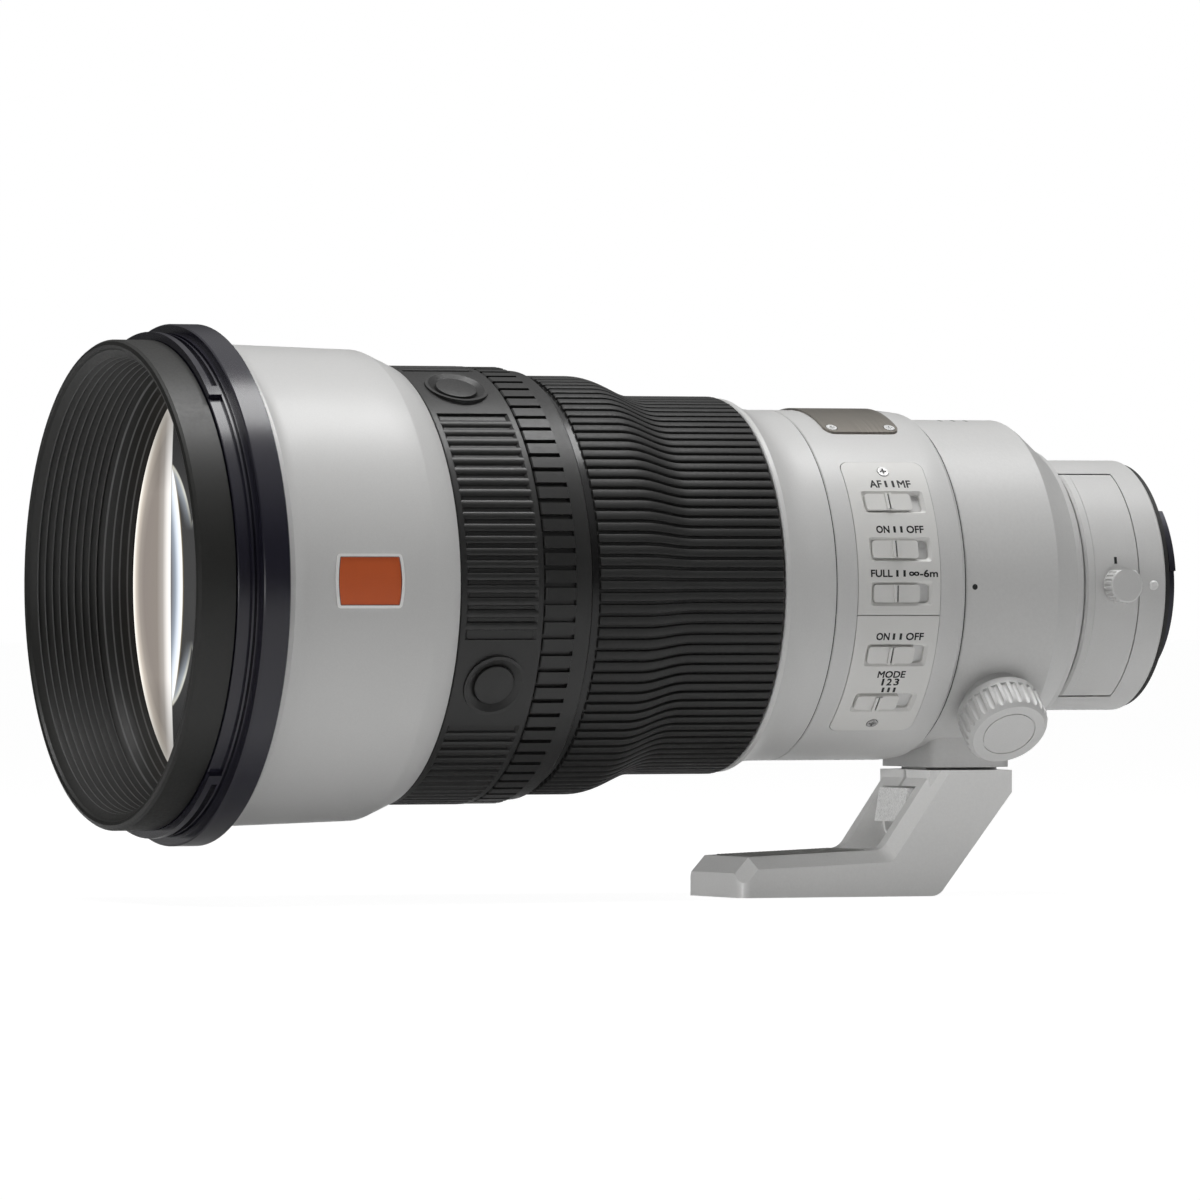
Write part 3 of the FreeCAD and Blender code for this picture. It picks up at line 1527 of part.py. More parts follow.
pin_bore = cross_pin("lever_pin_bore", pin_distance, pin_height, pin_radius + slide_gap, fork_half + 3.2)
wall_disc = doc.addObject("Part::Cylinder", "wall_disc")
wall_disc.Placement = FreeCAD.Placement(FreeCAD.Vector(0, 0, 0), FreeCAD.Rotation(FreeCAD.Vector(1, 0, 0), 90))
wall_disc.Radius = 4.5
wall_disc.Height = 2.0
bind(wall_disc, "Placement.Base.x", -(pin_distance - 1.5))
bind(wall_disc, "Placement.Base.y", fork_half + 1.0)
bind(wall_disc, "Placement.Base.z", pin_height - 6.0)


def socket(label, distance, radius, depth):
    """A blind tripod socket in the underside of the foot."""
    hole = doc.addObject("Part::Cylinder", label)
    bind(hole, "Radius", radius)
    bind(hole, "Height", depth + 1)
    bind(hole, "Placement.Base.x", -distance)
    bind(hole, "Placement.Base.z", foot_bottom - 1)
    return hole


large_socket = socket(
    "large_socket",
    foot_nose - 15.0,
    size("large_socket_radius"),
    size("large_socket_depth"),
)
small_socket = socket(
    "small_socket",
    foot_nose - 33.0,
    size("small_socket_radius"),
    size("small_socket_depth"),
)
pin_hole = socket(
    "locating_hole",
    foot_nose - 45.0,
    size("locating_hole_radius"),
    size("locating_hole_depth"),
)
foot_fork = cut("foot_fork", bent, fork, rail_slot, jaw_split)
foot_with_disc = join("foot_with_disc", foot_fork, wall_disc)
keep(cut("foot", foot_with_disc, pin_bore, large_socket, small_socket, pin_hole))

# Release lever between the walls of the foot
lever = doc.addObject("PartDesign::Body", "lever_blank")
lever_front = block_front + 3.4
lever_low = jaw_bottom - size("lever_height")
lever_sketch = draw_outline(place_sketch(lever, "XZ_Plane", "lever_outline"), [
    (-lever_front, jaw_bottom - 0.4),
    (-(pin_distance - 1.3), jaw_bottom - 0.8),
    (-(pin_distance - 2.4), pin_height),
    (-(pin_distance - 1.3), pin_height - 2.2),
    (-(lever_front - size("lever_thickness") + 0.5), pin_height - 2.2),
    (-(lever_front - size("lever_thickness") + 1.3), lever_low),
    (-(lever_front + 1.3), lever_low),
])
lever_width = (fork_half - size("lever_side_gap")) * 2
lever_pad = add_pad(lever, "lever_pad", lever_sketch, lever_width, middle=True)
lever_bore = cross_pin("lever_bore", pin_distance, pin_height, pin_radius + slide_gap, fork_half)
keep(cut("foot_lever", lever, lever_bore))
keep(cross_pin("foot_lever_pin", pin_distance, pin_height, pin_radius, fork_half + 3.0))

# Rear barrel with the opening for the drop-in filter
bore = size("rear_bore_radius")
hollow = size("rear_hollow_radius")
plate_seat = size("mount_plate") + seat_gap
mount_radius = rear_radius - size("mount_rim")
rear_blank = turned("rear_barrel_blank", [
    (rear_barrel_front, bore),
    (rear_barrel_front, rear_radius - edge),
    (rear_barrel_front - edge, rear_radius),
    (barrel_end + 0.6, rear_radius),
    (barrel_end, rear_radius - 0.6),
    (barrel_end, mount_radius + seat_gap),
    (plate_seat, mount_radius + seat_gap),
    (plate_seat, hollow),
    (barrel_end + size("rear_hollow_depth"), hollow),
    (barrel_end + size("rear_hollow_depth"), bore),
])
cover_front = rear_barrel_front - size("cover_front")
cover_rear = cover_front - size("cover_length")
cover_radius = rear_radius + 0.2
cover_inner = cover_radius - size("cover_thickness")
frame_radius = size("filter_frame_radius")
frame_front = cover_front - 2.3
frame_rear = frame_front - size("filter_frame_length")
cover_half = size("cover_half_width")
outside = rear_radius + 3
cover_recess = shared(
    "cover_recess",
    band("cover_recess_shell", cover_front + seat_gap, cover_rear - seat_gap, outside, cover_inner - 0.2),
    box("cover_recess_block", cover_rear - 2, cover_front + 2, -outside, 0,
        -(cover_half + seat_gap), cover_half + seat_gap),
)
frame_slot = box(
    "frame_slot",
    frame_rear - seat_gap,
    frame_front + seat_gap,
    -outside,
    0,
    -(frame_radius + seat_gap),
    frame_radius + seat_gap,
)
frame_well = rod("frame_well", frame_front + seat_gap, frame_rear - seat_gap, frame_radius + seat_gap, 0, 0)
bead_distance = barrel_end + size("bead_front")
bead_radius = size("bead_radius")
bead_seat = post("bead_seat", bead_distance, as_size(0), bead_radius + 0.05, rear_radius - 1.1, outside)
keep(cut("rear_barrel", rear_blank, cover_recess, frame_slot, frame_well, bead_seat))
index_bead = turned("mount_index_bead", [
    (0, rear_radius - 1.0),
    (bead_radius, rear_radius - 1.0),
    (bead_radius, rear_radius + 0.1),
    (bead_radius - 0.35, rear_radius + 0.42),
    (0, rear_radius + 0.55),
], "V_Axis")
keep(place_round(index_bead, bead_distance, as_size(0)))

# Drop-in filter holder: cover, frame and glass
bead_end = cover_front - size("cover_bead_length")
cover_shell = turned("cover_shell", [
    (cover_front, cover_inner),
    (cover_front, cover_radius),
    (cover_front - 0.6, cover_radius + size("cover_bead")),
    (bead_end + 0.6, cover_radius + size("cover_bead")),
    (bead_end, cover_radius),
    (cover_rear + 0.2, cover_radius),
    (cover_rear, cover_radius - 0.2),
    (cover_rear, cover_inner),
])
cover = shared(
    "filter_cover",
    cover_shell,
    box("filter_cover_block", cover_rear - 2, cover_front + 2, -outside, 0, -cover_half, cover_half),
)
tongue = shared(
    "filter_tongue",
    box("filter_tongue_block", frame_rear, frame_front, -outside, 0, -frame_radius, frame_radius),
    rod("filter_tongue_round", frame_front, frame_rear, cover_inner + 1, 0, 0),
)
frame_round = rod("filter_frame_round", frame_front, frame_rear, frame_radius, 0, 0)
filter_radius = size("filter_glass_radius")
filter_bore = rod("filter_bore", frame_front + 1, frame_rear + 3, filter_radius + seat_gap, 0, 0)
filter_throat = rod("filter_throat", frame_front + 1, frame_rear - 1, filter_radius - 1, 0, 0)
filter_knob_distance = size("filter_knob_rear") + barrel_end
filter_knob_hole = post(
    "filter_knob_hole",
    filter_knob_distance,
    as_size(0),
    as_size(2.0 + 0.08),
    cover_radius - 3.2,
    cover_radius + 2,
)
keep(cut(
    "filter_holder",
    join("filter_holder_blank", cover, tongue, frame_round),
    filter_bore,
    filter_throat,
    filter_knob_hole,
))
filter_rear = frame_rear + 3 + seat_gap
keep(rod(
    "filter_glass",
    filter_rear + size("filter_glass_thickness"),
    filter_rear,
    filter_radius,
    0,
    0,
))

# Lock knob of the filter holder, with one flat side
filter_knob = doc.addObject("PartDesign::Body", "filter_knob")
lock_radius = size("filter_knob_radius")
lock_foot = cover_radius + 0.2
lock_top = lock_foot + size("filter_knob_height")
turn_outline(filter_knob, "filter_knob_turn", [
    (0, cover_radius - 3.0),
    (2.0, cover_radius - 3.0),
    (2.0, lock_foot),
    (lock_radius, lock_foot),
    (lock_radius, lock_top - 0.5),
    (lock_radius - 0.5, lock_top),
    (0, lock_top),
], "V_Axis")
knurl_sketch = place_sketch(filter_knob, "XY_Plane", "knurl_circle", lock_foot + 0.5)
draw_circle(knurl_sketch, lock_radius + 0.15, 0, as_size(0.4))
knurl = add_pocket(filter_knob, "knurl", knurl_sketch, size("filter_knob_height"), along=True)
repeat_round(filter_knob, "knurls", [knurl], "Z_Axis", 24)
flat_sketch = place_sketch(filter_knob, "XY_Plane", "flat_outline", lock_foot + 0.02)
draw_outline(flat_sketch, [
    (-6, lock_radius - 0.7),
    (6, lock_radius - 0.7),
    (6, lock_radius + 1),
    (-6, lock_radius + 1),
])
filter_knob.Tip = add_pocket(filter_knob, "flat", flat_sketch, size("filter_knob_height") + 1, along=True)
place_round(filter_knob, filter_knob_distance, as_size(0))
keep(filter_knob)

# Mount: seal, bayonet plate with claws, contacts and screws
keep(band("mount_seal", barrel_end - 0.1, as_size(0.25), rear_radius - 0.7, mount_radius + seat_gap))
mount = doc.addObject("PartDesign::Body", "bayonet_blank")
mount_bore = mount_radius - size("mount_land")
throat = mount_bore + size("mount_throat")
claw_radius = throat + size("mount_claw_height")
mount_tail = -size("mount_depth")
turn_outline(mount, "bayonet_turn", ahead([
    (size("mount_plate"), mount_bore),
    (size("mount_plate"), mount_radius),
    (0.25, mount_radius),
    (0, mount_radius - 0.25),
    (0, throat),
    (mount_tail, throat),
    (mount_tail, mount_bore),
]))
claw_front = mount_tail + size("mount_claw_length") + 0.5
claw = turn_outline(mount, "claw", ahead([
    (claw_front, throat - 0.3),
    (claw_front, claw_radius),
    (claw_front - size("mount_claw_length"), claw_radius),
    (claw_front - size("mount_claw_length"), throat - 0.3),
]), sweep=size("mount_claw_angle"))
repeat_round(mount, "claws", [claw], "X_Axis", 3)
place_round(mount, 0, as_size(27))
screw_ring_radius = (mount_radius + claw_radius) / 2
mount_screw_radius = 1.1
mount_screw_seats = []
mount_screws = []
for number in range(4):
    turn = 45 + 90 * number
    across = screw_ring_radius * (0.70711 if number in (0, 3) else -0.70711)
    up = screw_ring_radius * (0.70711 if number in (0, 1) else -0.70711)
    seat = rod("mount_screw_seat_" + str(turn), as_size(1.3), as_size(-1), as_size(1.25), across, up)
    head = rod("mount_screw_head_" + str(turn), as_size(1.2), as_size(0.1), as_size(mount_screw_radius), across, up)
    slot = box("mount_screw_slot_" + str(turn), -0.5, 0.45, across - 0.8, across + 0.8, up - 0.18, up + 0.18)
    mount_screw_seats.append(seat)
    mount_screws.append(cut("mount_screw_" + str(turn), head, slot))
keep(cut("bayonet_mount", mount, *mount_screw_seats))
keep(group("mount_screws", *mount_screws))

contact_outer = mount_bore - seat_gap
contact_face = mount_tail + 0.8
contact_blank = band(
    "contact_block_blank",
    size("mount_plate"),
    contact_face,
    contact_outer,
    contact_outer - 2.4,
    sweep=as_size(64),
)
place_round(contact_blank, 0, as_size(-90))
contact_radius = size("contact_radius")
contact_ring = contact_outer - 1.2
pin_sides = (-0.4384, -0.3420, -0.2419, -0.1392, -0.0349, 0.0698, 0.1736, 0.2756, 0.3746, 0.4695)
pin_drops = (-0.8988, -0.9397, -0.9703, -0.9903, -0.9994, -0.9976, -0.9848, -0.9613, -0.9272, -0.8829)
contact_seats = []
contacts = []
for number, (side, drop) in enumerate(zip(pin_sides, pin_drops), start=1):
    across = contact_ring * side
    up = contact_ring * drop
    deep = contact_face + 1.5
    contact_seats.append(rod("contact_seat_" + str(number), deep, contact_face - 1, contact_radius + 0.05, across, up))
    contacts.append(rod("contact_pin_" + str(number), deep - 0.1, contact_face - 0.3, contact_radius, across, up))
keep(cut("contact_block", contact_blank, *contact_seats))
keep(group("contact_pins", *contacts))

# Focus cell and its lens, on the two rods
cell_start = bulkhead_rear - size("focus_cell_front") + size("focus_cell_length")
cell_end = cell_start - size("focus_cell_length")
focus_glass_radius = size("focus_glass_radius")
focus_cell_blank = turned("focus_cell_blank", [
    (cell_start, focus_glass_radius + seat_gap),
    (cell_start, focus_core - core_wall - 0.6),
    (cell_end, focus_core - core_wall - 0.6),
    (cell_end, focus_glass_radius - 2),
    (cell_end + 3, focus_glass_radius - 2),
    (cell_end + 3, focus_glass_radius + seat_gap),
])
cell_bores = [
    rod("upper_cell_bore", cell_start + 1, cell_end - 1, rod_hole, 0, rod_place),
    rod("lower_cell_bore", cell_start + 1, cell_end - 1, rod_hole, 0, -rod_place),
]
keep(cut("focus_cell", focus_cell_blank, *cell_bores))
keep(glass(
    "focus_lens",
    cell_end + 3 + seat_gap + 5,
    as_size(5.0),
    focus_glass_radius,
    as_size(2.0),
    as_size(1.5),
))

# Iris: housing, turning ring and its leaves, each leaf in its own plane
iris_front = focus_rear - size("iris_front")
iris_rear = iris_front - size("iris_length")
iris_outer = switch_core - core_wall - seat_gap
opening = size("iris_opening")
iris_shell = turned("iris_shell", [
    (iris_front, opening),
    (iris_front, iris_outer),
    (iris_rear, iris_outer),
    (iris_rear, opening),
    (iris_rear + 1.5, opening),
    (iris_rear + 1.5, iris_outer - 2.9),
    (iris_front - 1.8, iris_outer - 2.9),
    (iris_front - 1.8, opening),
])
pivot = size("iris_pivot_radius")
leaf_count = 6
leaf_step = 360 / leaf_count
pivot_holes = []
leaf_thickness = size("iris_leaf_thickness")
for number in range(leaf_count):
    place = as_size(round(leaf_step * number, 4))
    hole = rod("iris_hole_" + str(number), iris_front + 1, iris_front - 3, size("iris_pin_radius") + slide_gap, 0, pivot)
    turn = "create(<<placement>>; create(<<vector>>; 0; 0; 0); create(<<rotation>>; create(<<vector>>; 1; 0; 0); "
    lie = "create(<<placement>>; create(<<vector>>; " + (-(iris_front + 1)).formula + "; 0; " + pivot.formula + "); "
    along = "create(<<rotation>>; create(<<vector>>; 0; 1; 0); 90))"
    hole.setExpression("Placement.Base.x", None)
    hole.setExpression("Placement.Base.y", None)
    hole.setExpression("Placement.Base.z", None)
    hole.setExpression("Placement", turn + place.formula + ")) * " + lie + along)
    pivot_holes.append(hole)
keep(cut("iris_housing", iris_shell, *pivot_holes))
keep(band("iris_ring", iris_rear + 4.5, iris_rear + 1.8, iris_outer - 3.2, opening + 1))
for number in range(leaf_count):
    leaf = doc.addObject("PartDesign::Body", "iris_leaf_" + str(number + 1))
    leaf_front = iris_front - 2.3 - size("iris_leaf_pitch") * number
    leaf_name = "leaf_" + str(number + 1)
    half_sweep = size("iris_leaf_sweep") / 2
    leaf_turn = turn_outline(leaf, leaf_name + "_arc", ahead([
        (leaf_front, opening + 0.3),
        (leaf_front, opening + size("iris_leaf_width") + 0.3),
        (leaf_front - leaf_thickness, opening + size("iris_leaf_width") + 0.3),
        (leaf_front - leaf_thickness, opening + 0.3),
    ]), sweep=size("iris_leaf_sweep"))
    leaf_turn.Midplane = False
    ear_sketch = place_sketch(leaf, "YZ_Plane", leaf_name + "_ear_circle", -leaf_front)
    draw_circle(ear_sketch, 0, pivot, as_size(2.3))
    add_pad(leaf, leaf_name + "_ear", ear_sketch, leaf_thickness)
    leaf_pin_front = iris_front - 0.3
    pin_sketch = place_sketch(leaf, "YZ_Plane", leaf_name + "_pin_circle", -leaf_pin_front)
    draw_circle(pin_sketch, 0, pivot, size("iris_pin_radius"))
    leaf.Tip = add_pad(leaf, leaf_name + "_pin", pin_sketch, leaf_pin_front - leaf_front + leaf_thickness)
    place_round(leaf, 0, as_size(90) - as_size(round(leaf_step * number, 4)))
    keep(leaf)

# Stabiliser: frame, stage that shifts sideways, lens that shifts up and down in it
stab_front = switch_front - size("stabiliser_front") + size("stabiliser_length")
stab_rear = stab_front - size("stabiliser_length")
play = size("stabiliser_play")
stab_outer = switch_core - core_wall - seat_gap
stab_bore = stab_outer - 3.5
keep(turned("stabiliser_frame", [
    (stab_front, stab_bore - 3.5),
    (stab_front, stab_outer),
    (stab_rear, stab_outer),
    (stab_rear, stab_bore - 3.5),
    (stab_rear + 1.5, stab_bore - 3.5),
    (stab_rear + 1.5, stab_bore),
    (stab_front - 1.5, stab_bore),
    (stab_front - 1.5, stab_bore - 3.5),
]))
stage_outer = stab_bore - play
stage_bore = stage_outer - 1.8
stage_front = stab_front - 1.5 - seat_gap
stage_rear = stab_rear + 1.5 + seat_gap
keep(turned("stabiliser_stage", [
    (stage_front, stage_bore - 3.5),
    (stage_front, stage_outer),
    (stage_rear, stage_outer),
    (stage_rear, stage_bore - 3.5),
    (stage_rear + 1.2, stage_bore - 3.5),
    (stage_rear + 1.2, stage_bore),
    (stage_front - 1.2, stage_bore),
    (stage_front - 1.2, stage_bore - 3.5),
]))
stab_cell_outer = stage_bore - play
stab_cell_front = stage_front - 1.2 - seat_gap
stab_cell_rear = stage_rear + 1.2 + seat_gap
stab_glass = size("stabiliser_glass_radius")
keep(turned("stabiliser_cell", [
    (stab_cell_front, stab_glass + seat_gap),
    (stab_cell_front, stab_cell_outer),
    (stab_cell_rear, stab_cell_outer),
    (stab_cell_rear, stab_glass - 1.5),
    (stab_cell_rear + 1.2, stab_glass - 1.5),
    (stab_cell_rear + 1.2, stab_glass + seat_gap),
]))
keep(glass(
    "stabiliser_lens",
    stab_cell_rear + 1.2 + seat_gap + 3.0,
    as_size(3.0),
    stab_glass,
    as_size(1.2),
    as_size(0.8),
))

# Circuit board and rear glass
board_front = stab_rear - 3
keep(band("circuit_board", board_front, board_front - size("board_thickness"), stab_outer, as_size(27.0)))
rear_cell_front = collar_front - 1.8
rear_cell_rear = rear_cell_front - size("rear_cell_length")
rear_glass = size("rear_glass_radius")
rear_cell_outer = collar_core - core_wall - seat_gap
keep(turned("rear_cell", [
    (rear_cell_front, rear_glass + seat_gap),
    (rear_cell_front, rear_cell_outer),
    (rear_cell_rear, rear_cell_outer),
    (rear_cell_rear, rear_glass - 1.5),
    (rear_cell_rear + 4, rear_glass - 1.5),
    (rear_cell_rear + 4, rear_glass + seat_gap),
]))
keep(glass(
    "rear_element",
    rear_cell_rear + 4 + seat_gap + 6,
    as_size(6.0),
    rear_glass,
    as_size(2.5),
    as_size(1.5),
))

# Check every piece, then write it out
doc.recompute()
for item in doc.Objects:
    if "Invalid" in item.State or "Error" in item.State:
        raise RuntimeError("this step did not work: " + item.Label + " " + str(item.State))
for piece in pieces:
    shape = piece.Shape
    if shape.isNull() or not shape.isValid() or not shape.Solids:
        raise RuntimeError("this piece has no sound shape: " + piece.Label)
for piece in pieces:
    piece.Shape.exportStep("parts/" + piece.Label + ".step")
    limits = piece.Shape.BoundBox
    print(piece.Label, len(piece.Shape.Solids), round(piece.Shape.Volume, 1),
          [round(one, 2) for one in (limits.XMin, limits.XMax, limits.YMin, limits.YMax, limits.ZMin, limits.ZMax)])
print(len(pieces), "pieces")
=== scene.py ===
# %% [markdown]
# # A long white camera lens
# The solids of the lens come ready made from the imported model: rings, barrels, switches, foot and glass,
# each in its real place. This lesson dresses them. It sets the camera where the photographer stood,
# lights the lens softly, gives each finish its own nodes, and adds what is too fine for the solids, such
# as the ribs of the rubber grip.

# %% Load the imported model
import math

import bmesh
import bpy
from mathutils import Matrix, Vector


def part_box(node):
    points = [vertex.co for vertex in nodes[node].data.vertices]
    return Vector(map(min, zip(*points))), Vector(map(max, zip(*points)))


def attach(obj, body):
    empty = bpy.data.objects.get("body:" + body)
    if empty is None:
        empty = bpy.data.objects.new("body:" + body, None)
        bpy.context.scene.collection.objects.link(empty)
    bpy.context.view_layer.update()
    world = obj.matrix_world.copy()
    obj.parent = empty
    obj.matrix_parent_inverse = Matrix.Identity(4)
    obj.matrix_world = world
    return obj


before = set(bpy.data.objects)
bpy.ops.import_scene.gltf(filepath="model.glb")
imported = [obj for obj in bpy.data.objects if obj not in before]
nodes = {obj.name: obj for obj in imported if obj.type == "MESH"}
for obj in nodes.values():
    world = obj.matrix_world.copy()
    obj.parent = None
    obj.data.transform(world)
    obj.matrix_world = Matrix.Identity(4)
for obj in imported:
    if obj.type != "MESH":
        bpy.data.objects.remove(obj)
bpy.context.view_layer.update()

scene = bpy.context.scene
MM = 0.001
print("solids loaded:", len(nodes))

# %% [markdown]
# ## Camera
# The photo was taken from far away with the lens turned a little towards the viewer. The turn and the
# distance were worked out from the ellipses of the rings, so a plain perspective camera repeats the
# framing. A small shift moves the picture without turning the camera, as the photographer's crop did.


# %% Camera at the photographer's place
def placed(name, data):
    """Put a camera, light, mesh or text into the scene as an object."""
    thing = bpy.data.objects.new(name, data)
    scene.collection.objects.link(thing)
    return thing


PHOTO_PIXELS = 1200
view_turn = math.radians(23.4147)
view_distance = 2.86013
lens_middle = Vector((-0.1325, 0, 0))
looking = Vector((math.sin(view_turn), math.cos(view_turn), 0))
camera_data = bpy.data.cameras.new("photo_camera")
camera_data.lens = 355.7
camera_data.sensor_width = 36
camera_data.shift_x = -22.1 / PHOTO_PIXELS
camera_data.shift_y = -14.8 / PHOTO_PIXELS
camera_data.clip_end = 60
camera = placed("photo_camera", camera_data)
camera.location = lens_middle - looking * view_distance
camera.rotation_euler = (math.radians(90), 0, -view_turn)
scene.camera = camera
scene.view_settings.view_transform = "Standard"
print("camera stands at", [round(part, 3) for part in camera.location])

# %% [markdown]
# ## Light
# Product photos of white things use a white studio and big soft lights. The studio is the world here. It
# shows as plain white to the camera and through glass, but lights the lens far less than that, so the
# white paint keeps its tone. In reflections it is bright overhead and dim around, which keeps the black
# rings black.


# %% Tree helpers and the world
def add_node(tree, kind, **settings):
    """Add a node to a tree and set its options."""
    node = tree.nodes.new(kind)
    for name, value in settings.items():
        setattr(node, name, value)
    return node


def add_maths(tree, operation, *values):
    """Arithmetic in a tree on values that are sockets or plain numbers."""
    node = add_node(tree, "ShaderNodeMath", operation=operation)
    for number, value in enumerate(values):
        if isinstance(value, (int, float)):
            node.inputs[number].default_value = value
        else:
            tree.links.new(value, node.inputs[number])
    return node.outputs[0]


def map_range(tree, value, low, high, start, end, **settings):
    """Stretch a value between two limits to the range from start to end."""
    node = add_node(tree, "ShaderNodeMapRange", **settings)
    for name, number in (("From Min", low), ("From Max", high), ("To Min", start), ("To Max", end)):
        node.inputs[name].default_value = number
    tree.links.new(value, node.inputs["Value"])
    return node.outputs["Result"]


def mix_shaders(tree, share, first, second):
    """Mix two shaders in a tree by a share."""
    node = add_node(tree, "ShaderNodeMixShader")
    for number, source in enumerate((share, first, second)):
        tree.links.new(source, node.inputs[number])
    return node.outputs[0]


world = bpy.data.worlds.new("studio")
scene.world = world
world.use_nodes = True
world_tree = world.node_tree
world_tree.nodes.clear()


def background(grey, strength):
    """A studio of one grey and one strength of light."""
    node = add_node(world_tree, "ShaderNodeBackground")
    node.inputs["Color"].default_value = (grey, grey, grey, 1)
    node.inputs["Strength"].default_value = strength
    return node


fill = background(1.0, 0.10)
shown = background(1.0, 1.0)
mirrored = background(0.8, 1.0)
rays = add_node(world_tree, "ShaderNodeLightPath")
direction = add_node(world_tree, "ShaderNodeTexCoord")
split_direction = add_node(world_tree, "ShaderNodeSeparateXYZ")
world_tree.links.new(direction.outputs["Generated"], split_direction.inputs[0])
brightness = map_range(
    world_tree, split_direction.outputs[2], 0.25, 0.95, 0.10, 0.8, interpolation_type="SMOOTHSTEP")
world_tree.links.new(brightness, mirrored.inputs["Strength"])
lighting = mix_shaders(world_tree, rays.outputs["Is Glossy Ray"], fill.outputs[0], mirrored.outputs[0])
seen = add_maths(world_tree, "MAXIMUM", rays.outputs["Is Camera Ray"], rays.outputs["Is Transmission Ray"])
sky = mix_shaders(world_tree, seen, lighting, shown.outputs[0])
world_output = add_node(world_tree, "ShaderNodeOutputWorld")
world_tree.links.new(sky, world_output.inputs["Surface"])
print("world fill strength:", fill.inputs["Strength"].default_value)

# %% [markdown]
# The lamps are area lights that point at the middle of the lens. The one above is broad and strong and
# shapes the barrel. Three dim ones on the camera's side draw the streaks on the black rings. The last one
# is for the foot and its lever, which the photographer lit more than the barrel above. Light linking
# keeps it off everything else.


# %% Soft lights
def soft_light(name, place, width, height, watts):
    """A rectangular soft light that points at the middle of the lens."""
    data = bpy.data.lights.new(name, "AREA")
    data.shape = "RECTANGLE"
    data.size = width
    data.size_y = height
    data.energy = watts
    light = placed(name, data)
    light.location = place
    light.rotation_euler = (lens_middle - Vector(place)).to_track_quat("-Z", "Y").to_euler()
    return light


soft_light("light_above", (-0.13, -0.10, 0.95), 1.1, 0.42, 9.0)
soft_light("light_left", (-1.15, -1.15, -0.03), 0.6, 0.10, 0.4)
soft_light("light_front", (-1.5, -0.45, -0.02), 0.5, 0.12, 0.7)
soft_light("light_right", (0.9, -1.0, 0.25), 0.5, 0.9, 0.12)
foot_light = soft_light("light_foot", (-1.55, -0.85, -0.03), 0.25, 0.25, 12.0)
lit_pieces = bpy.data.collections.new("lit_by_light_foot")
for name in ("foot", "foot_lever", "foot_lever_pin"):
    lit_pieces.objects.link(nodes[name])
foot_light.light_linking.receiver_collection = lit_pieces

# %% [markdown]
# ## Floor
# The lens stands on its foot. The floor is pale and shows almost white to the camera, so the picture has
# the clean background of a catalogue, yet a faint shadow still grounds the foot.

# %% Pale floor under the foot
floor_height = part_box("foot")[0].z
floor_mesh = bpy.data.meshes.new("floor")
floor_half = 12.0
floor_mesh.from_pydata(
    [(-floor_half, -floor_half, floor_height), (floor_half, -floor_half, floor_height),
     (floor_half, floor_half, floor_height), (-floor_half, floor_half, floor_height)],
    [],
    [(0, 1, 2, 3)],
)
placed("floor", floor_mesh)
floor_finish = bpy.data.materials.new("pale_floor")
floor_finish.use_nodes = True
floor_tree = floor_finish.node_tree
floor_shader = floor_tree.nodes["Principled BSDF"]
floor_shader.inputs["Base Color"].default_value = (0.85, 0.85, 0.85, 1)
floor_shader.inputs["Roughness"].default_value = 0.8
glow = add_node(floor_tree, "ShaderNodeEmission")
glow.inputs["Color"].default_value = (1, 1, 1, 1)
glow.inputs["Strength"].default_value = 1.18
floor_rays = add_node(floor_tree, "ShaderNodeLightPath")
to_camera = floor_rays.outputs["Is Camera Ray"]
glow_share = add_maths(floor_tree, "MULTIPLY_ADD", to_camera, 0.72, 0.10)
floor_look = mix_shaders(floor_tree, glow_share, floor_shader.outputs[0], glow.outputs[0])
floor_tree.links.new(floor_look, floor_tree.nodes["Material Output"].inputs["Surface"])
floor_mesh.materials.append(floor_finish)
print("floor height in mm:", round(floor_height / MM, 2))

# %% [markdown]
# ## A workbench for finishes
# Every finish starts from the Principled shader and gets its life from small noises: a grain in the
# colour, a change of gloss, and a bump for the skin of the paint or rubber. All patterns read Object
# coordinates in metres, so a grain of half a millimetre is half a millimetre on every piece.


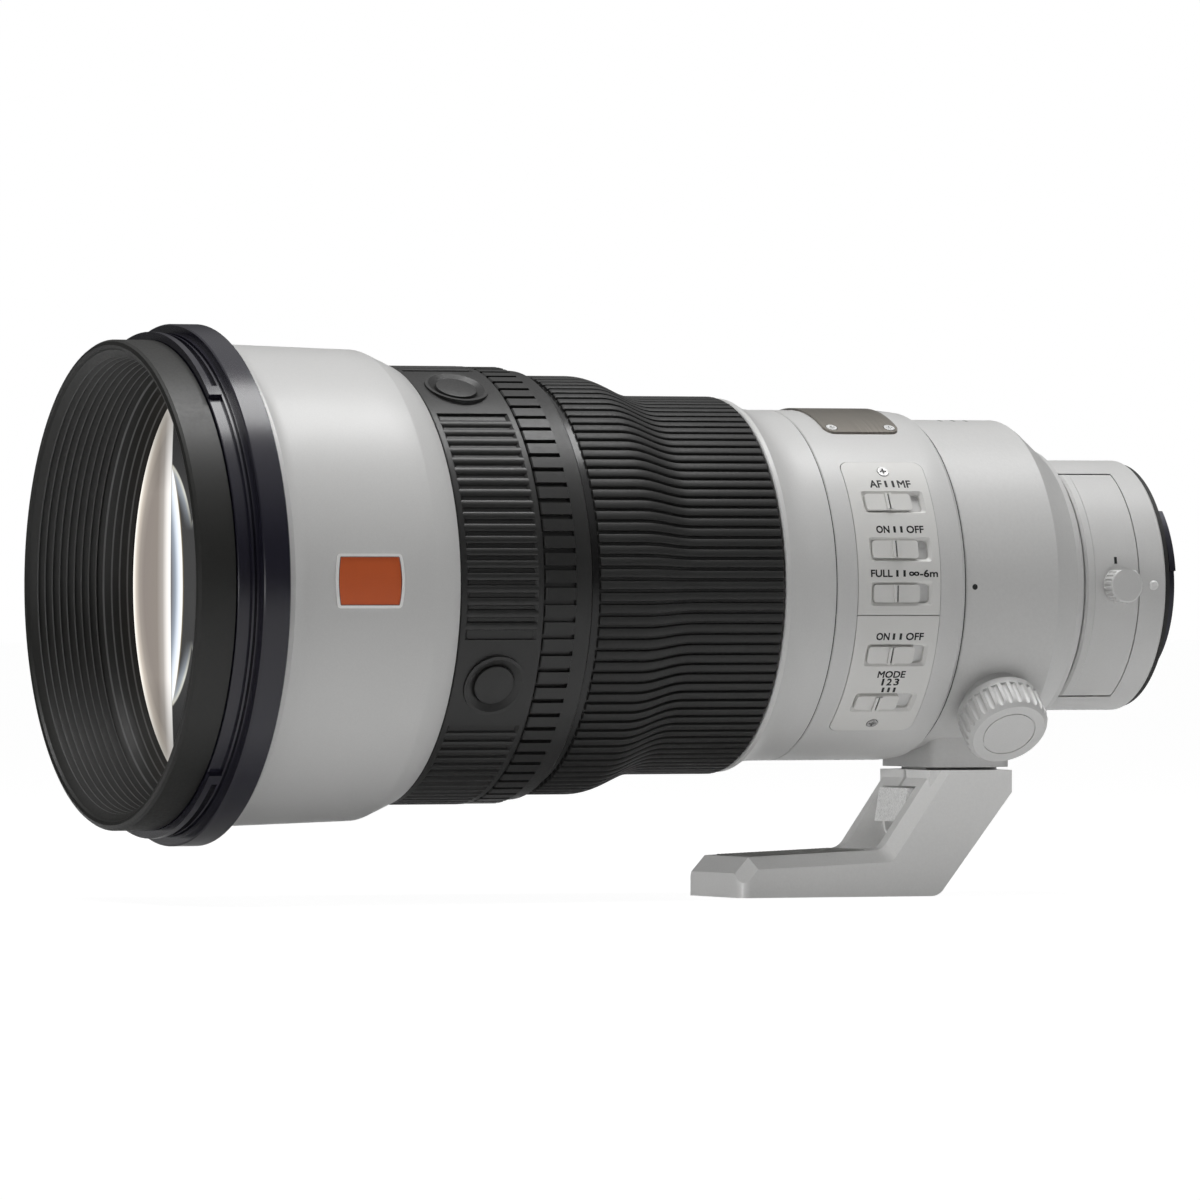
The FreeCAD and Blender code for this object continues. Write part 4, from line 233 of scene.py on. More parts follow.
# %% The workbench
class Finish:
    """A material in the making: its tree, its main shader and the place on the piece."""

    def __init__(self, name, colour, roughness, metallic=0.0):
        self.material = bpy.data.materials.new(name)
        self.material.use_nodes = True
        self.tree = self.material.node_tree
        self.shader = self.tree.nodes["Principled BSDF"]
        self.shader.inputs["Base Color"].default_value = (*colour, 1)
        self.shader.inputs["Roughness"].default_value = roughness
        self.shader.inputs["Metallic"].default_value = metallic
        self.place = self.add("ShaderNodeTexCoord").outputs["Object"]
        self.last_bump = None

    def add(self, kind, **settings):
        return add_node(self.tree, kind, **settings)

    def link(self, source, target):
        self.tree.links.new(source, target)

    def noise(self, grain_mm, detail=2.0, stretch=(1, 1, 1)):
        """A noise whose blobs are about one grain across, drawn out along an axis if asked."""
        mapping = self.add("ShaderNodeMapping")
        mapping.inputs["Scale"].default_value = [1 / (one * grain_mm * MM) for one in stretch]
        self.link(self.place, mapping.inputs["Vector"])
        texture = self.add("ShaderNodeTexNoise")
        texture.inputs["Scale"].default_value = 1.0
        texture.inputs["Detail"].default_value = detail
        self.link(mapping.outputs["Vector"], texture.inputs["Vector"])
        return texture.outputs["Fac"]

    def fade(self, value, low, high, start=0.0, end=1.0):
        """Stretch a value between two limits to the range from start to end."""
        return map_range(self.tree, value, low, high, start, end)

    def maths(self, operation, *values):
        """Arithmetic on values that are sockets or plain numbers."""
        return add_maths(self.tree, operation, *values)

    def reach(self, first, second):
        """The length of the long side over two sides at a right angle."""
        first_square = self.maths("MULTIPLY", first, first)
        second_square = self.maths("MULTIPLY", second, second)
        return self.maths("SQRT", self.maths("ADD", first_square, second_square))

    def axes(self):
        """The place on the piece as three separate values."""
        split = self.add("ShaderNodeSeparateXYZ")
        self.link(self.place, split.inputs[0])
        return split.outputs

    def blend(self, share, first, second, way="MIX"):
        """Blend two colours, plain ones or sockets, by a share that is a plain number or a socket."""
        mix = self.add("ShaderNodeMix", data_type="RGBA", blend_type=way)
        if isinstance(share, float):
            mix.inputs["Factor"].default_value = share
        else:
            self.link(share, mix.inputs["Factor"])
        for name, colour in (("A", first), ("B", second)):
            socket = [one for one in mix.inputs if one.name == name and one.type == "RGBA"][0]
            if isinstance(colour, tuple):
                socket.default_value = (*colour, 1)
            else:
                self.link(colour, socket)
        return [one for one in mix.outputs if one.type == "RGBA"][0]

    def colour(self, socket):
        self.link(socket, self.shader.inputs["Base Color"])

    def colour_so_far(self):
        return self.shader.inputs["Base Color"].links[0].from_socket

    def gloss(self, socket):
        self.link(socket, self.shader.inputs["Roughness"])

    def varnish(self, weight, roughness=0.03):
        self.shader.inputs["Coat Weight"].default_value = weight
        self.shader.inputs["Coat Roughness"].default_value = roughness

    def surface(self, socket):
        self.link(socket, self.tree.nodes["Material Output"].inputs["Surface"])

    def bump(self, height, depth_mm):
        """Raise the skin by a depth in millimetres, on top of any bump already there."""
        node = self.add("ShaderNodeBump")
        node.inputs["Strength"].default_value = 1.0
        node.inputs["Distance"].default_value = depth_mm * MM
        self.link(height, node.inputs["Height"])
        if self.last_bump is not None:
            self.link(self.last_bump, node.inputs["Normal"])
        self.last_bump = node.outputs["Normal"]
        self.link(self.last_bump, self.shader.inputs["Normal"])


def shade(colour, amount):
    """A colour made lighter or darker by a share."""
    return tuple(min(1.0, part * amount) for part in colour)


def grained(name, colour, roughness, grain_mm, depth_mm, contrast=0.05, metallic=0.0, gloss_change=0.06):
    """A coated surface: speckle in the colour, uneven gloss and a fine skin."""
    finish = Finish(name, colour, roughness, metallic)
    speckle = finish.fade(finish.noise(grain_mm), 0.3, 0.7)
    cloud = finish.fade(finish.noise(34.0, 3.0), 0.35, 0.65)
    fine = finish.blend(speckle, shade(colour, 1 - contrast), shade(colour, 1 + contrast))
    broad = finish.blend(cloud, shade(colour, 1 - contrast * 0.5), shade(colour, 1 + contrast * 0.5))
    finish.colour(finish.blend(0.5, fine, broad))
    patches = finish.noise(grain_mm * 2)
    finish.gloss(finish.fade(patches, 0.3, 0.7, roughness - gloss_change, roughness + gloss_change))
    finish.bump(finish.noise(grain_mm * 0.8, 3.0), depth_mm)
    return finish


print("workbench ready")

# %% [markdown]
# ## White paint
# The barrels carry a baked white paint with a fine grain that stops hands from slipping. It is a warm,
# light grey rather than pure white. The tripod collar has the same colour with a coarser skin, like
# orange peel.

# %% White paint, plain and coarse
PAINT = (0.665, 0.663, 0.655)
white_paint = grained("white_paint", PAINT, 0.42, 0.45, 0.02, 0.03)
white_paint.varnish(0.45, 0.36)
coarse_paint = grained("coarse_white_paint", PAINT, 0.46, 0.8, 0.045, 0.035)
coarse_paint.bump(coarse_paint.noise(1.6, 2.0), 0.03)
coarse_paint.varnish(0.5, 0.4)
# Painted light: the foot has the barrels' white paint made a fifth lighter, for the extra light it stands in.
lightened_foot_paint = grained("foot_white_paint", shade(PAINT, 1.2), 0.38, 0.6, 0.03, 0.03)
lightened_foot_paint.varnish(0.08)
print("white paint:", white_paint.material.name, coarse_paint.material.name)

# %% [markdown]
# The rear barrel and the filter drawer are white outside and black inside, where stray light must die.
# One material does both: it asks how far the place lies from the axis and changes over inside the outer
# wall.


# %% White outside, black inside
def white_outside(name, limit_mm):
    """White paint beyond a distance from the optical axis, matt black nearer to it."""
    finish = grained(name, PAINT, 0.42, 0.45, 0.02, 0.03)
    side = finish.axes()
    distance = finish.reach(side[1], side[2])
    outside = finish.fade(distance, (limit_mm - 0.05) * MM, (limit_mm + 0.05) * MM)
    finish.colour(finish.blend(outside, (0.012, 0.012, 0.012), finish.colour_so_far()))
    return finish


rear_paint = white_outside("white_outside_black_inside", 27.4)
drawer_paint = white_outside("filter_drawer_paint", 26.9)
print("rear finishes:", rear_paint.material.name, drawer_paint.material.name)

# %% [markdown]
# ## Black metal
# The front tube is matt, a touch green in the light. Inside, nine thin ridges stop stray light, and their
# crests catch it as fine pale lines. The finish paints these highlights in: it turns lighter on the crests,
# which it counts off along the tube by their pitch. The hood ring behind the tube is smoother, blue-black,
# and shows clear streaks of light along its edges. The mount is black metal in much the same tone.

# %% Black finishes
tube_black = grained("tube_black", (0.014, 0.014, 0.0125), 0.44, 0.35, 0.008, 0.12)
tube_side = tube_black.axes()
tube_distance = tube_black.reach(tube_side[1], tube_side[2])
BAFFLE_FIRST = 248.0
BAFFLE_PITCH = 1.81
BAFFLE_STEP = 0.15
BAFFLE_RADIUS = 53.0
CREST_DEPTH = 0.12
CREST_LINE = 0.24
# Painted highlight: the crests of the ridges are coloured light grey where light would catch them.
along = tube_black.maths("SUBTRACT", tube_black.maths("MULTIPLY", tube_side[0], -1 / MM), BAFFLE_FIRST)
crest_number = tube_black.maths("ROUND", tube_black.maths("DIVIDE", along, BAFFLE_PITCH))
nearest_crest = tube_black.maths("MULTIPLY", crest_number, BAFFLE_PITCH)
from_crest = tube_black.maths("ABSOLUTE", tube_black.maths("SUBTRACT", along, nearest_crest))
crest_top = tube_black.maths("MULTIPLY_ADD", crest_number, BAFFLE_STEP, BAFFLE_RADIUS + CREST_DEPTH)
low_enough = tube_black.maths("LESS_THAN", tube_black.maths("DIVIDE", tube_distance, MM), crest_top)
crest_highlight = tube_black.maths("MULTIPLY", low_enough, tube_black.fade(from_crest, CREST_LINE, CREST_LINE / 2))
painted_tube = tube_black.colour_so_far()
tube_black.colour(tube_black.blend(crest_highlight, painted_tube, (0.16, 0.16, 0.16)))
hood_black = grained("hood_ring_black", (0.012, 0.011, 0.021), 0.24, 0.5, 0.0008, 0.02, gloss_change=0.01)
hood_black.varnish(0.25, 0.2)
mount_black = grained("mount_black", (0.030, 0.030, 0.042), 0.3, 0.4, 0.0006, 0.04, 0.4, 0.02)
inner_black = grained("inner_black", (0.012, 0.012, 0.012), 0.5, 0.5, 0.02, 0.2)
print("black finishes ready")

# %% [markdown]
# ## Rubber and black rings
# Rubber is never quite even. A fine pebble skin, uneven gloss and a wide, faint patchiness in the colour
# keep it from looking like plastic.

# %% Rubber and ring finishes
grip_rubber = grained("grip_rubber", (0.014, 0.014, 0.0135), 0.54, 0.3, 0.012, 0.2)
ring_black = grained("ring_black", (0.019, 0.019, 0.0185), 0.38, 0.3, 0.010, 0.18)
sleeve_black = grained("sleeve_black", (0.009, 0.009, 0.009), 0.22, 0.5, 0.004, 0.05, gloss_change=0.02)
button_rubber = grained("button_rubber", (0.020, 0.020, 0.0195), 0.44, 0.25, 0.008, 0.15)
seal_rubber = grained("seal_rubber", (0.015, 0.015, 0.015), 0.6, 0.3, 0.01, 0.2)
rest_rubber = grained("finger_rest_rubber", (0.50, 0.495, 0.48), 0.5, 0.3, 0.03, 0.15)
print("rubber finishes ready")

# %% [markdown]
# ## Brushed metal
# Brushing leaves fine lines in one direction. A noise that is drawn out many times over along that
# direction gives the lines, both as colour and as a very shallow bump.


# %% Brushed metals and small metal finishes
def brushed(name, colour, roughness, stretch, metallic=0.85, contrast=0.22):
    """Metal with fine parallel lines, drawn out along one axis."""
    finish = Finish(name, colour, roughness, metallic)
    lines = finish.fade(finish.noise(0.12, 3.0, stretch), 0.3, 0.7)
    finish.colour(finish.blend(lines, shade(colour, 1 - contrast), shade(colour, 1 + contrast)))
    finish.gloss(finish.fade(lines, 0, 1, roughness - 0.05, roughness + 0.07))
    finish.bump(lines, 0.006)
    return finish


name_plate_metal = brushed("name_plate_metal", (0.27, 0.25, 0.22), 0.34, (1, 120, 120), 0.7)
steel = brushed("steel", (0.55, 0.55, 0.54), 0.28, (1, 40, 1), 1.0, 0.12)
dark_steel = brushed("dark_steel", (0.06, 0.06, 0.062), 0.38, (1, 40, 1), 0.8, 0.2)
gold = brushed("contact_gold", (0.83, 0.58, 0.2), 0.2, (1, 1, 20), 1.0, 0.08)
lens_metal = grained("inner_metal", (0.05, 0.05, 0.052), 0.42, 0.5, 0.01, 0.2, 0.5)
print("metal finishes ready")

# %% [markdown]
# ## The badge
# The badge is bare: brushed orange metal inside a pale raised rim. The rim's shape bows out at both ends,
# so the change from rim to face follows the same curve as the solid. The widths are in millimetres.

# %% Badge finish
badge = Finish("badge_metal", (0.5, 0.09, 0.02), 0.36, 0.2)
badge_low, badge_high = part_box("badge_plate")
badge_middle = (badge_low + badge_high) / 2
badge_half = (badge_high - badge_low) / 2
side = badge.axes()
across = badge.maths("ABSOLUTE", badge.maths("SUBTRACT", side[0], badge_middle.x))
upward = badge.maths("ABSOLUTE", badge.maths("SUBTRACT", side[2], badge_middle.z))
share_up = badge.maths("DIVIDE", upward, badge_half.z)
END_RIM = 0.70
SIDE_RIM = 0.65
RIM_CHANGE = 0.3
BOW = 0.7
bow = badge.maths("MULTIPLY", badge.maths("MULTIPLY", share_up, share_up), BOW * MM)
reach_across = badge.maths("ADD", across, bow)
rim_end = badge_half.x - END_RIM * MM
rim_side = badge_half.z - SIDE_RIM * MM
in_length = badge.fade(reach_across, rim_end, rim_end - RIM_CHANGE * MM)
in_width = badge.fade(upward, rim_side, rim_side - RIM_CHANGE * MM)
inside = badge.maths("MULTIPLY", in_length, in_width)
lines = badge.fade(badge.noise(0.11, 3.0, (0.012, 1, 1)), 0.3, 0.7)
orange = badge.blend(lines, (0.52, 0.085, 0.020), (0.84, 0.17, 0.046))
seam = badge.maths("MULTIPLY", inside, badge.maths("SUBTRACT", 1.0, inside))
rim_and_seam = badge.blend(badge.fade(seam, 0.0, 0.2), (1.0, 1.0, 0.99), (0.10, 0.04, 0.03))
badge.colour(badge.blend(badge.fade(inside, 0.5, 1.0), rim_and_seam, orange))
badge.gloss(badge.fade(lines, 0, 1, 0.3, 0.42))
badge.bump(lines, 0.004)
print("badge is", [round(part / MM, 1) for part in badge_half * 2], "mm")

# %% [markdown]
# ## Small plastics, paint marks and the release lever
# The lever is cast metal with a bright sparkle. Tiny cells of differing brightness, a few tenths of a
# millimetre across, give it. The panel screws are painted over, while the four screws of the name plate
# are bare steel.

# %% Lever, screws, marks and the circuit board
lever = Finish("sparkling_lever", (0.95, 0.95, 0.94), 0.35, 0.0)
cells = lever.add("ShaderNodeTexVoronoi")
cells.inputs["Scale"].default_value = 1 / (0.35 * MM)
lever.link(lever.place, cells.inputs["Vector"])
sparkle = lever.add("ShaderNodeSeparateColor")
lever.link(cells.outputs["Color"], sparkle.inputs[0])
lever.colour(lever.blend(sparkle.outputs[0], (0.80, 0.80, 0.79), (1.0, 1.0, 0.99)))
lever.gloss(lever.fade(sparkle.outputs[1], 0, 1, 0.25, 0.6))
lever.bump(cells.outputs["Distance"], 0.05)

screw_finish = brushed("cover_screw_steel", (0.95, 0.95, 0.94), 0.25, (1, 40, 1), 1.0, 0.1)
PLATE_LEVEL = 34.5
on_plate = screw_finish.fade(screw_finish.axes()[2], PLATE_LEVEL * MM, (PLATE_LEVEL + 0.5) * MM)
screw_finish.colour(screw_finish.blend(on_plate, shade(PAINT, 0.75), screw_finish.colour_so_far()))
screw_finish.shader.inputs["Metallic"].default_value = 0.3

mark_paint = grained("mark_paint", (0.010, 0.010, 0.011), 0.5, 0.2, 0.003, 0.2)
bead_white = grained("index_bead_white", (0.8, 0.8, 0.79), 0.3, 0.3, 0.002, 0.02)
board_green = grained("board_green", (0.03, 0.12, 0.06), 0.4, 1.2, 0.02, 0.3)
switch_white = grained("switch_white", (0.76, 0.755, 0.735), 0.4, 0.25, 0.008, 0.02)
print("small finishes ready")

# %% [markdown]
# ## Coated glass
# Seen straight on, coated glass is nearly invisible. Seen from the side it turns into a mirror. A Layer
# Weight node gives that change, and mixes clear glass with a bluish gloss. All glasses behind the front one
# have this finish.


# %% Glass finishes
def coated_glass(name, tint, mirror_tint, strength):
    """Clear glass that turns to a mirror towards its edges of view."""
    finish = Finish(name, tint, 0.0)
    finish.shader.inputs["Transmission Weight"].default_value = 1.0
    finish.shader.inputs["IOR"].default_value = 1.5
    finish.gloss(finish.fade(finish.noise(18.0, 2.0), 0.3, 0.7, 0.0, 0.02))
    mirror = finish.add("ShaderNodeBsdfGlossy")
    mirror.inputs["Roughness"].default_value = 0.03
    patches = finish.fade(finish.noise(60.0, 1.0), 0.35, 0.65)
    finish.link(finish.blend(patches, shade(mirror_tint, 0.95), mirror_tint), mirror.inputs["Color"])
    facing = finish.add("ShaderNodeLayerWeight")
    facing.inputs["Blend"].default_value = 0.5
    turned_away = finish.maths("MULTIPLY", finish.maths("POWER", facing.outputs["Facing"], 1.6), strength)
    finish.surface(mix_shaders(finish.tree, turned_away, finish.shader.outputs[0], mirror.outputs[0]))
    return finish


inner_glass = coated_glass("inner_glass", (0.94, 0.96, 0.98), (0.85, 0.92, 1.0), 0.5)
print("inner glass ready")

# %% [markdown]
# The front glass shows the studio's big light and the rims of the glasses behind it as pale, curved
# reflections. Many coated surfaces make them together, far more than this model holds. So these
# reflections are painted into the front glass as a glowing colour: a ridge of light beside a straight
# edge, a bright line along the rim, and two thin crescents. A Layer Weight gate shows them only where the
# glass is seen from the side, and they stay away when one looks straight in.

# %% Front glass with painted reflections
front_glass = Finish("front_glass", (0.9, 0.9, 0.9), 0.02)
front_glass.shader.inputs["Transmission Weight"].default_value = 1.0
front_glass.shader.inputs["IOR"].default_value = 1.5
side = front_glass.axes()
across = front_glass.maths("DIVIDE", front_glass.maths("ABSOLUTE", side[1]), MM)
upward = front_glass.maths("DIVIDE", front_glass.maths("ABSOLUTE", side[2]), MM)


def distance_to(centre):
    """Distance in millimetres from a point beside the axis, seen along the axis."""
    return front_glass.reach(front_glass.maths("SUBTRACT", across, centre), upward)


def ramp(finish, value, low, high, stops):
    """A colour ramp over a range of a value, from stops of value and grey or colour."""
    node = finish.add("ShaderNodeValToRGB")
    elements = node.color_ramp.elements
    while len(elements) < len(stops):
        elements.new(0.5)
    for element, (place, colour) in zip(elements, stops):
        element.position = (place - low) / (high - low)
        element.color = (*colour, 1) if isinstance(colour, tuple) else (colour, colour, colour, 1)
    finish.link(finish.fade(value, low, high), node.inputs["Fac"])
    return node.outputs["Color"]


from_rim = distance_to(0.0)
EDGE_CURVE = 0.0053
upward_square = front_glass.maths("MULTIPLY", upward, upward)
edge_line = front_glass.maths("SUBTRACT", across, front_glass.maths("MULTIPLY", upward_square, EDGE_CURVE))
ridge = ramp(front_glass, edge_line, 10, 40, [
    (13.2, 0.0),
    (13.8, (0.97, 0.96, 0.93)),
    (16.5, (0.84, 0.81, 0.78)),
    (20.0, (0.40, 0.37, 0.345)),
    (25.0, (0.26, 0.23, 0.205)),
    (38.0, (0.25, 0.22, 0.20)),
])
rim_line = ramp(front_glass, from_rim, 38, 53.2, [
    (38.5, 0.0),
    (44.0, (0.07, 0.065, 0.055)),
    (48.0, (0.30, 0.27, 0.23)),
    (51.0, (0.62, 0.60, 0.54)),
    (52.8, (0.85, 0.84, 0.80)),
])
crescent = ramp(front_glass, distance_to(42.0), 25, 40, [
    (28.5, (0.13, 0.12, 0.12)),
    (32.0, (0.30, 0.34, 0.40)),
    (34.5, (0.72, 0.78, 0.86)),
    (37.0, (0.95, 0.95, 0.93)),
    (37.5, (0.16, 0.13, 0.08)),
    (38.2, (0.055, 0.055, 0.055)),
])
second_crescent = ramp(front_glass, distance_to(26.2), 22, 34, [
    (25.5, 0.0),
    (28.6, (0.26, 0.29, 0.33)),
    (29.8, (0.62, 0.62, 0.55)),
    (30.3, 0.0),
])
high_up = front_glass.fade(upward, 13.0, 22.0)
middle_only = front_glass.fade(upward, 40.0, 22.0, 0.45, 1.25)
beyond_edge = front_glass.fade(edge_line, 13.0, 13.4)
right_part = front_glass.blend(high_up, crescent, second_crescent, "ADD")
left_part = front_glass.blend(1.0, ridge, rim_line, "ADD")
# Painted reflections: this emission glows with the studio light and the rims behind, and no lamp lights it.
painted_reflections = front_glass.add("ShaderNodeEmission")
front_glass.link(front_glass.blend(beyond_edge, right_part, left_part), painted_reflections.inputs["Color"])
front_glass.link(middle_only, painted_reflections.inputs["Strength"])
from_side = front_glass.add("ShaderNodeLayerWeight")
from_side.inputs["Blend"].default_value = 0.5
gate = front_glass.fade(from_side.outputs["Facing"], 0.56, 0.61, 0.0, 0.93)
clear = front_glass.shader.outputs[0]
front_glass.surface(mix_shaders(front_glass.tree, gate, clear, painted_reflections.outputs[0]))
print("front glass ready")

# %% [markdown]
# ## Smooth shading
# The solids arrive as flat triangles. A small Geometry Nodes tree welds them and shades them smooth,
# except across edges that really turn, so a barrel looks round and its chamfers stay crisp.


# %% Shading tree for the solids
def new_tree(name, inputs):
    """A Geometry Nodes tree with named inputs: the tree, its start node and the inputs' identifiers."""
    tree = bpy.data.node_groups.new(name, "GeometryNodeTree")
    tree.interface.new_socket("Geometry", in_out="INPUT", socket_type="NodeSocketGeometry")
    sockets = {}
    for title, kind in inputs:
        socket = tree.interface.new_socket(title, in_out="INPUT", socket_type="NodeSocket" + kind)
        sockets[title] = socket.identifier
    tree.interface.new_socket("Geometry", in_out="OUTPUT", socket_type="NodeSocketGeometry")
    return tree, add_node(tree, "NodeGroupInput"), sockets


def end_tree(tree, geometry):
    """Lead a geometry out of a tree."""
    tree.links.new(geometry, add_node(tree, "NodeGroupOutput").inputs["Geometry"])


def make_shading_tree():
    """A tree that welds a mesh and shades it smooth up to a sharp angle."""
    tree, start, sockets = new_tree("smooth_but_crisp", [("Sharp angle", "Float")])
    weld = add_node(tree, "GeometryNodeMergeByDistance")
    weld.inputs["Distance"].default_value = 0.000001
    tree.links.new(start.outputs["Geometry"], weld.inputs["Geometry"])
    faces = add_node(tree, "GeometryNodeSetShadeSmooth", domain="FACE")
    tree.links.new(weld.outputs["Geometry"], faces.inputs["Geometry"])
    angle = add_node(tree, "GeometryNodeInputMeshEdgeAngle")
    turning = add_node(tree, "FunctionNodeCompare", data_type="FLOAT", operation="GREATER_THAN")
    tree.links.new(angle.outputs["Unsigned Angle"], turning.inputs[0])
    tree.links.new(start.outputs["Sharp angle"], turning.inputs[1])
    crisp = add_node(tree, "GeometryNodeSetShadeSmooth", domain="EDGE")
    tree.links.new(faces.outputs["Geometry"], crisp.inputs["Geometry"])
    tree.links.new(turning.outputs["Result"], crisp.inputs["Selection"])
    crisp.inputs["Shade Smooth"].default_value = False
    end_tree(tree, crisp.outputs["Geometry"])
    return tree, sockets["Sharp angle"]


shading_tree, sharp_angle_input = make_shading_tree()


def shade_smooth(piece, sharp_degrees=26):
    """Give a piece the shading tree as a modifier."""
    modifier = piece.modifiers.new("smooth_but_crisp", "NODES")
    modifier.node_group = shading_tree
    modifier[sharp_angle_input] = math.radians(sharp_degrees)


for node in nodes.values():
    shade_smooth(node)
print("shaded solids:", len(nodes))

# %% [markdown]
# ## Dress the solids
# Each solid gets its finish by name. The list reads from the front of the lens to its rear, then its
# inner works.

# %% Finishes for every solid
dressing = [
    (tube_black, ["front_tube"]),
    (hood_black, ["hood_ring"]),
    (white_paint, ["front_barrel", "trim_ring", "switch_barrel", "collar_knob", "filter_knob"]),
    (coarse_paint, ["collar_ring"]),
    (lightened_foot_paint, ["foot"]),
    (rear_paint, ["rear_barrel"]),
    (drawer_paint, ["filter_holder"]),
    (switch_white, ["upper_switch_panel", "lower_switch_panel", "focus_mode_switch", "override_switch",
                    "range_switch", "stabiliser_switch", "stabiliser_mode_switch"]),
    (badge, ["badge_plate"]),
    (name_plate_metal, ["name_plate"]),
    (screw_finish, ["cover_screws"]),
    (ring_black, ["button_ring", "function_ring"]),
    (sleeve_black, ["focus_sleeve"]),
    (grip_rubber, ["focus_grip"]),
    (button_rubber, ["hold_button_1", "hold_button_2", "hold_button_3", "hold_button_4"]),
    (lever, ["foot_lever"]),
    (steel, ["foot_lever_pin", "guide_rods", "mount_screws"]),
    (bead_white, ["mount_index_bead"]),
    (seal_rubber, ["mount_seal"]),
    (mount_black, ["bayonet_mount"]),
    (gold, ["contact_pins"]),
    (inner_black, ["contact_block", "main_tube", "front_cell"]),
    (lens_metal, ["focus_cell", "rear_cell", "iris_housing", "iris_ring",
                  "stabiliser_frame", "stabiliser_stage", "stabiliser_cell"]),
    (dark_steel, [name for name in nodes if name.startswith("iris_leaf")]),
    (board_green, ["circuit_board"]),
    (front_glass, ["front_element"]),
    (inner_glass, ["second_element", "focus_lens", "stabiliser_lens", "rear_element", "filter_glass"]),
]
dressed = set()
for finish, names in dressing:
    for name in names:
        mesh = nodes[name].data
        mesh.materials.clear()
        mesh.materials.append(finish.material)
        dressed.add(name)
print("dressed:", len(dressed), "still bare:", sorted(set(nodes) - dressed))

# %% [markdown]
# ## Rows of ribs
# The rubber grip has more than a hundred ribs, and the button ring has about eighty. Each row is one
# rib, repeated around the axis by Geometry Nodes. The tree takes the rib as its input mesh, turns a copy
# of it for every step, and leaves out the copies that would fall on a smooth field, such as the ones
# around the buttons. The result becomes a plain mesh, because an export drops instances.


# %% The tree that repeats a piece around the axis
def copy_to_points(tree, start, points, **extra):
    """The end of a row tree: copies of the input on points, made real and given the finish."""
    copies = add_node(tree, "GeometryNodeInstanceOnPoints")
    tree.links.new(points, copies.inputs["Points"])
    tree.links.new(start.outputs["Geometry"], copies.inputs["Instance"])
    for title, source in extra.items():
        tree.links.new(source, copies.inputs[title])
    solid = add_node(tree, "GeometryNodeRealizeInstances")
    tree.links.new(copies.outputs["Instances"], solid.inputs["Geometry"])
    coloured = add_node(tree, "GeometryNodeSetMaterial")
    tree.links.new(solid.outputs["Geometry"], coloured.inputs["Geometry"])
    tree.links.new(start.outputs["Finish"], coloured.inputs["Material"])
    end_tree(tree, coloured.outputs["Geometry"])


def make_row_tree():
    """A tree that repeats its input around the X axis and may leave gaps at even spaces."""
    tree, start, sockets = new_tree("row_around_axis", [
        ("Count", "Int"),
        ("First angle", "Float"),
        ("Gap spacing", "Float"),
        ("Gap centre", "Float"),
        ("Gap half width", "Float"),
        ("Finish", "Material"),
    ])
    points = add_node(tree, "GeometryNodeMeshLine")
    points.inputs["Offset"].default_value = (0, 0, 0)
    tree.links.new(start.outputs["Count"], points.inputs["Count"])
    index = add_node(tree, "GeometryNodeInputIndex")
    step = add_maths(tree, "DIVIDE", 2 * math.pi, start.outputs["Count"])
    turned = add_maths(tree, "MULTIPLY", index.outputs[0], step)
    turn = add_maths(tree, "ADD", turned, start.outputs["First angle"])
    half_spacing = add_maths(tree, "MULTIPLY", start.outputs["Gap spacing"], 0.5)
    lower_half = add_maths(tree, "MULTIPLY", half_spacing, -1)
    from_centre = add_maths(tree, "SUBTRACT", turn, start.outputs["Gap centre"])
    wrapped = add_maths(tree, "WRAP", from_centre, half_spacing, lower_half)
    kept = add_node(tree, "FunctionNodeCompare", data_type="FLOAT", operation="GREATER_THAN")
    tree.links.new(add_maths(tree, "ABSOLUTE", wrapped), kept.inputs[0])
    tree.links.new(start.outputs["Gap half width"], kept.inputs[1])
    rotation = add_node(tree, "ShaderNodeCombineXYZ")
    tree.links.new(turn, rotation.inputs[0])
    copy_to_points(
        tree, start, points.outputs["Mesh"], Selection=kept.outputs["Result"], Rotation=rotation.outputs[0])
    return tree, sockets


row_tree, row_inputs = make_row_tree()


def plain_mesh(drawn):
    """The shape of an object after its modifiers, as a plain mesh. The object itself goes."""
    bpy.context.view_layer.update()
    evaluated = drawn.evaluated_get(bpy.context.evaluated_depsgraph_get())
    mesh = bpy.data.meshes.new_from_object(evaluated)
    bpy.data.objects.remove(drawn)
    return mesh


def settle(piece, body):
    """Shade a finished piece and tie it to its body."""
    shade_smooth(piece, 32)
    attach(piece, body)
    print(piece.name, "faces:", len(piece.data.polygons))


def add_row(name, mesh, tree, inputs, settings, body):
    """Repeat a mesh by a row tree, and let the plain result ride on a body."""
    seed = placed(name + "_seed", mesh)
    modifier = seed.modifiers.new("row", "NODES")
    modifier.node_group = tree
    for title, value in settings.items():
        modifier[inputs[title]] = value
    seed.update_tag()
    whole = plain_mesh(seed)
    whole.name = name
    settle(placed(name, whole), body)


# %% [markdown]
# A rib is a bar that follows the ring's outline. Its section is a trapezoid with two soft upper corners,
# and its ends slope down. The outline is a list of stations along the axis, each with the floor radius
# below the rib and the share of the rib's full height there.


# %% One rib from stations
ROOT_DEPTH = 0.2
SHOULDER_DEPTH = 0.19
CROWN_DEPTH = 0.18


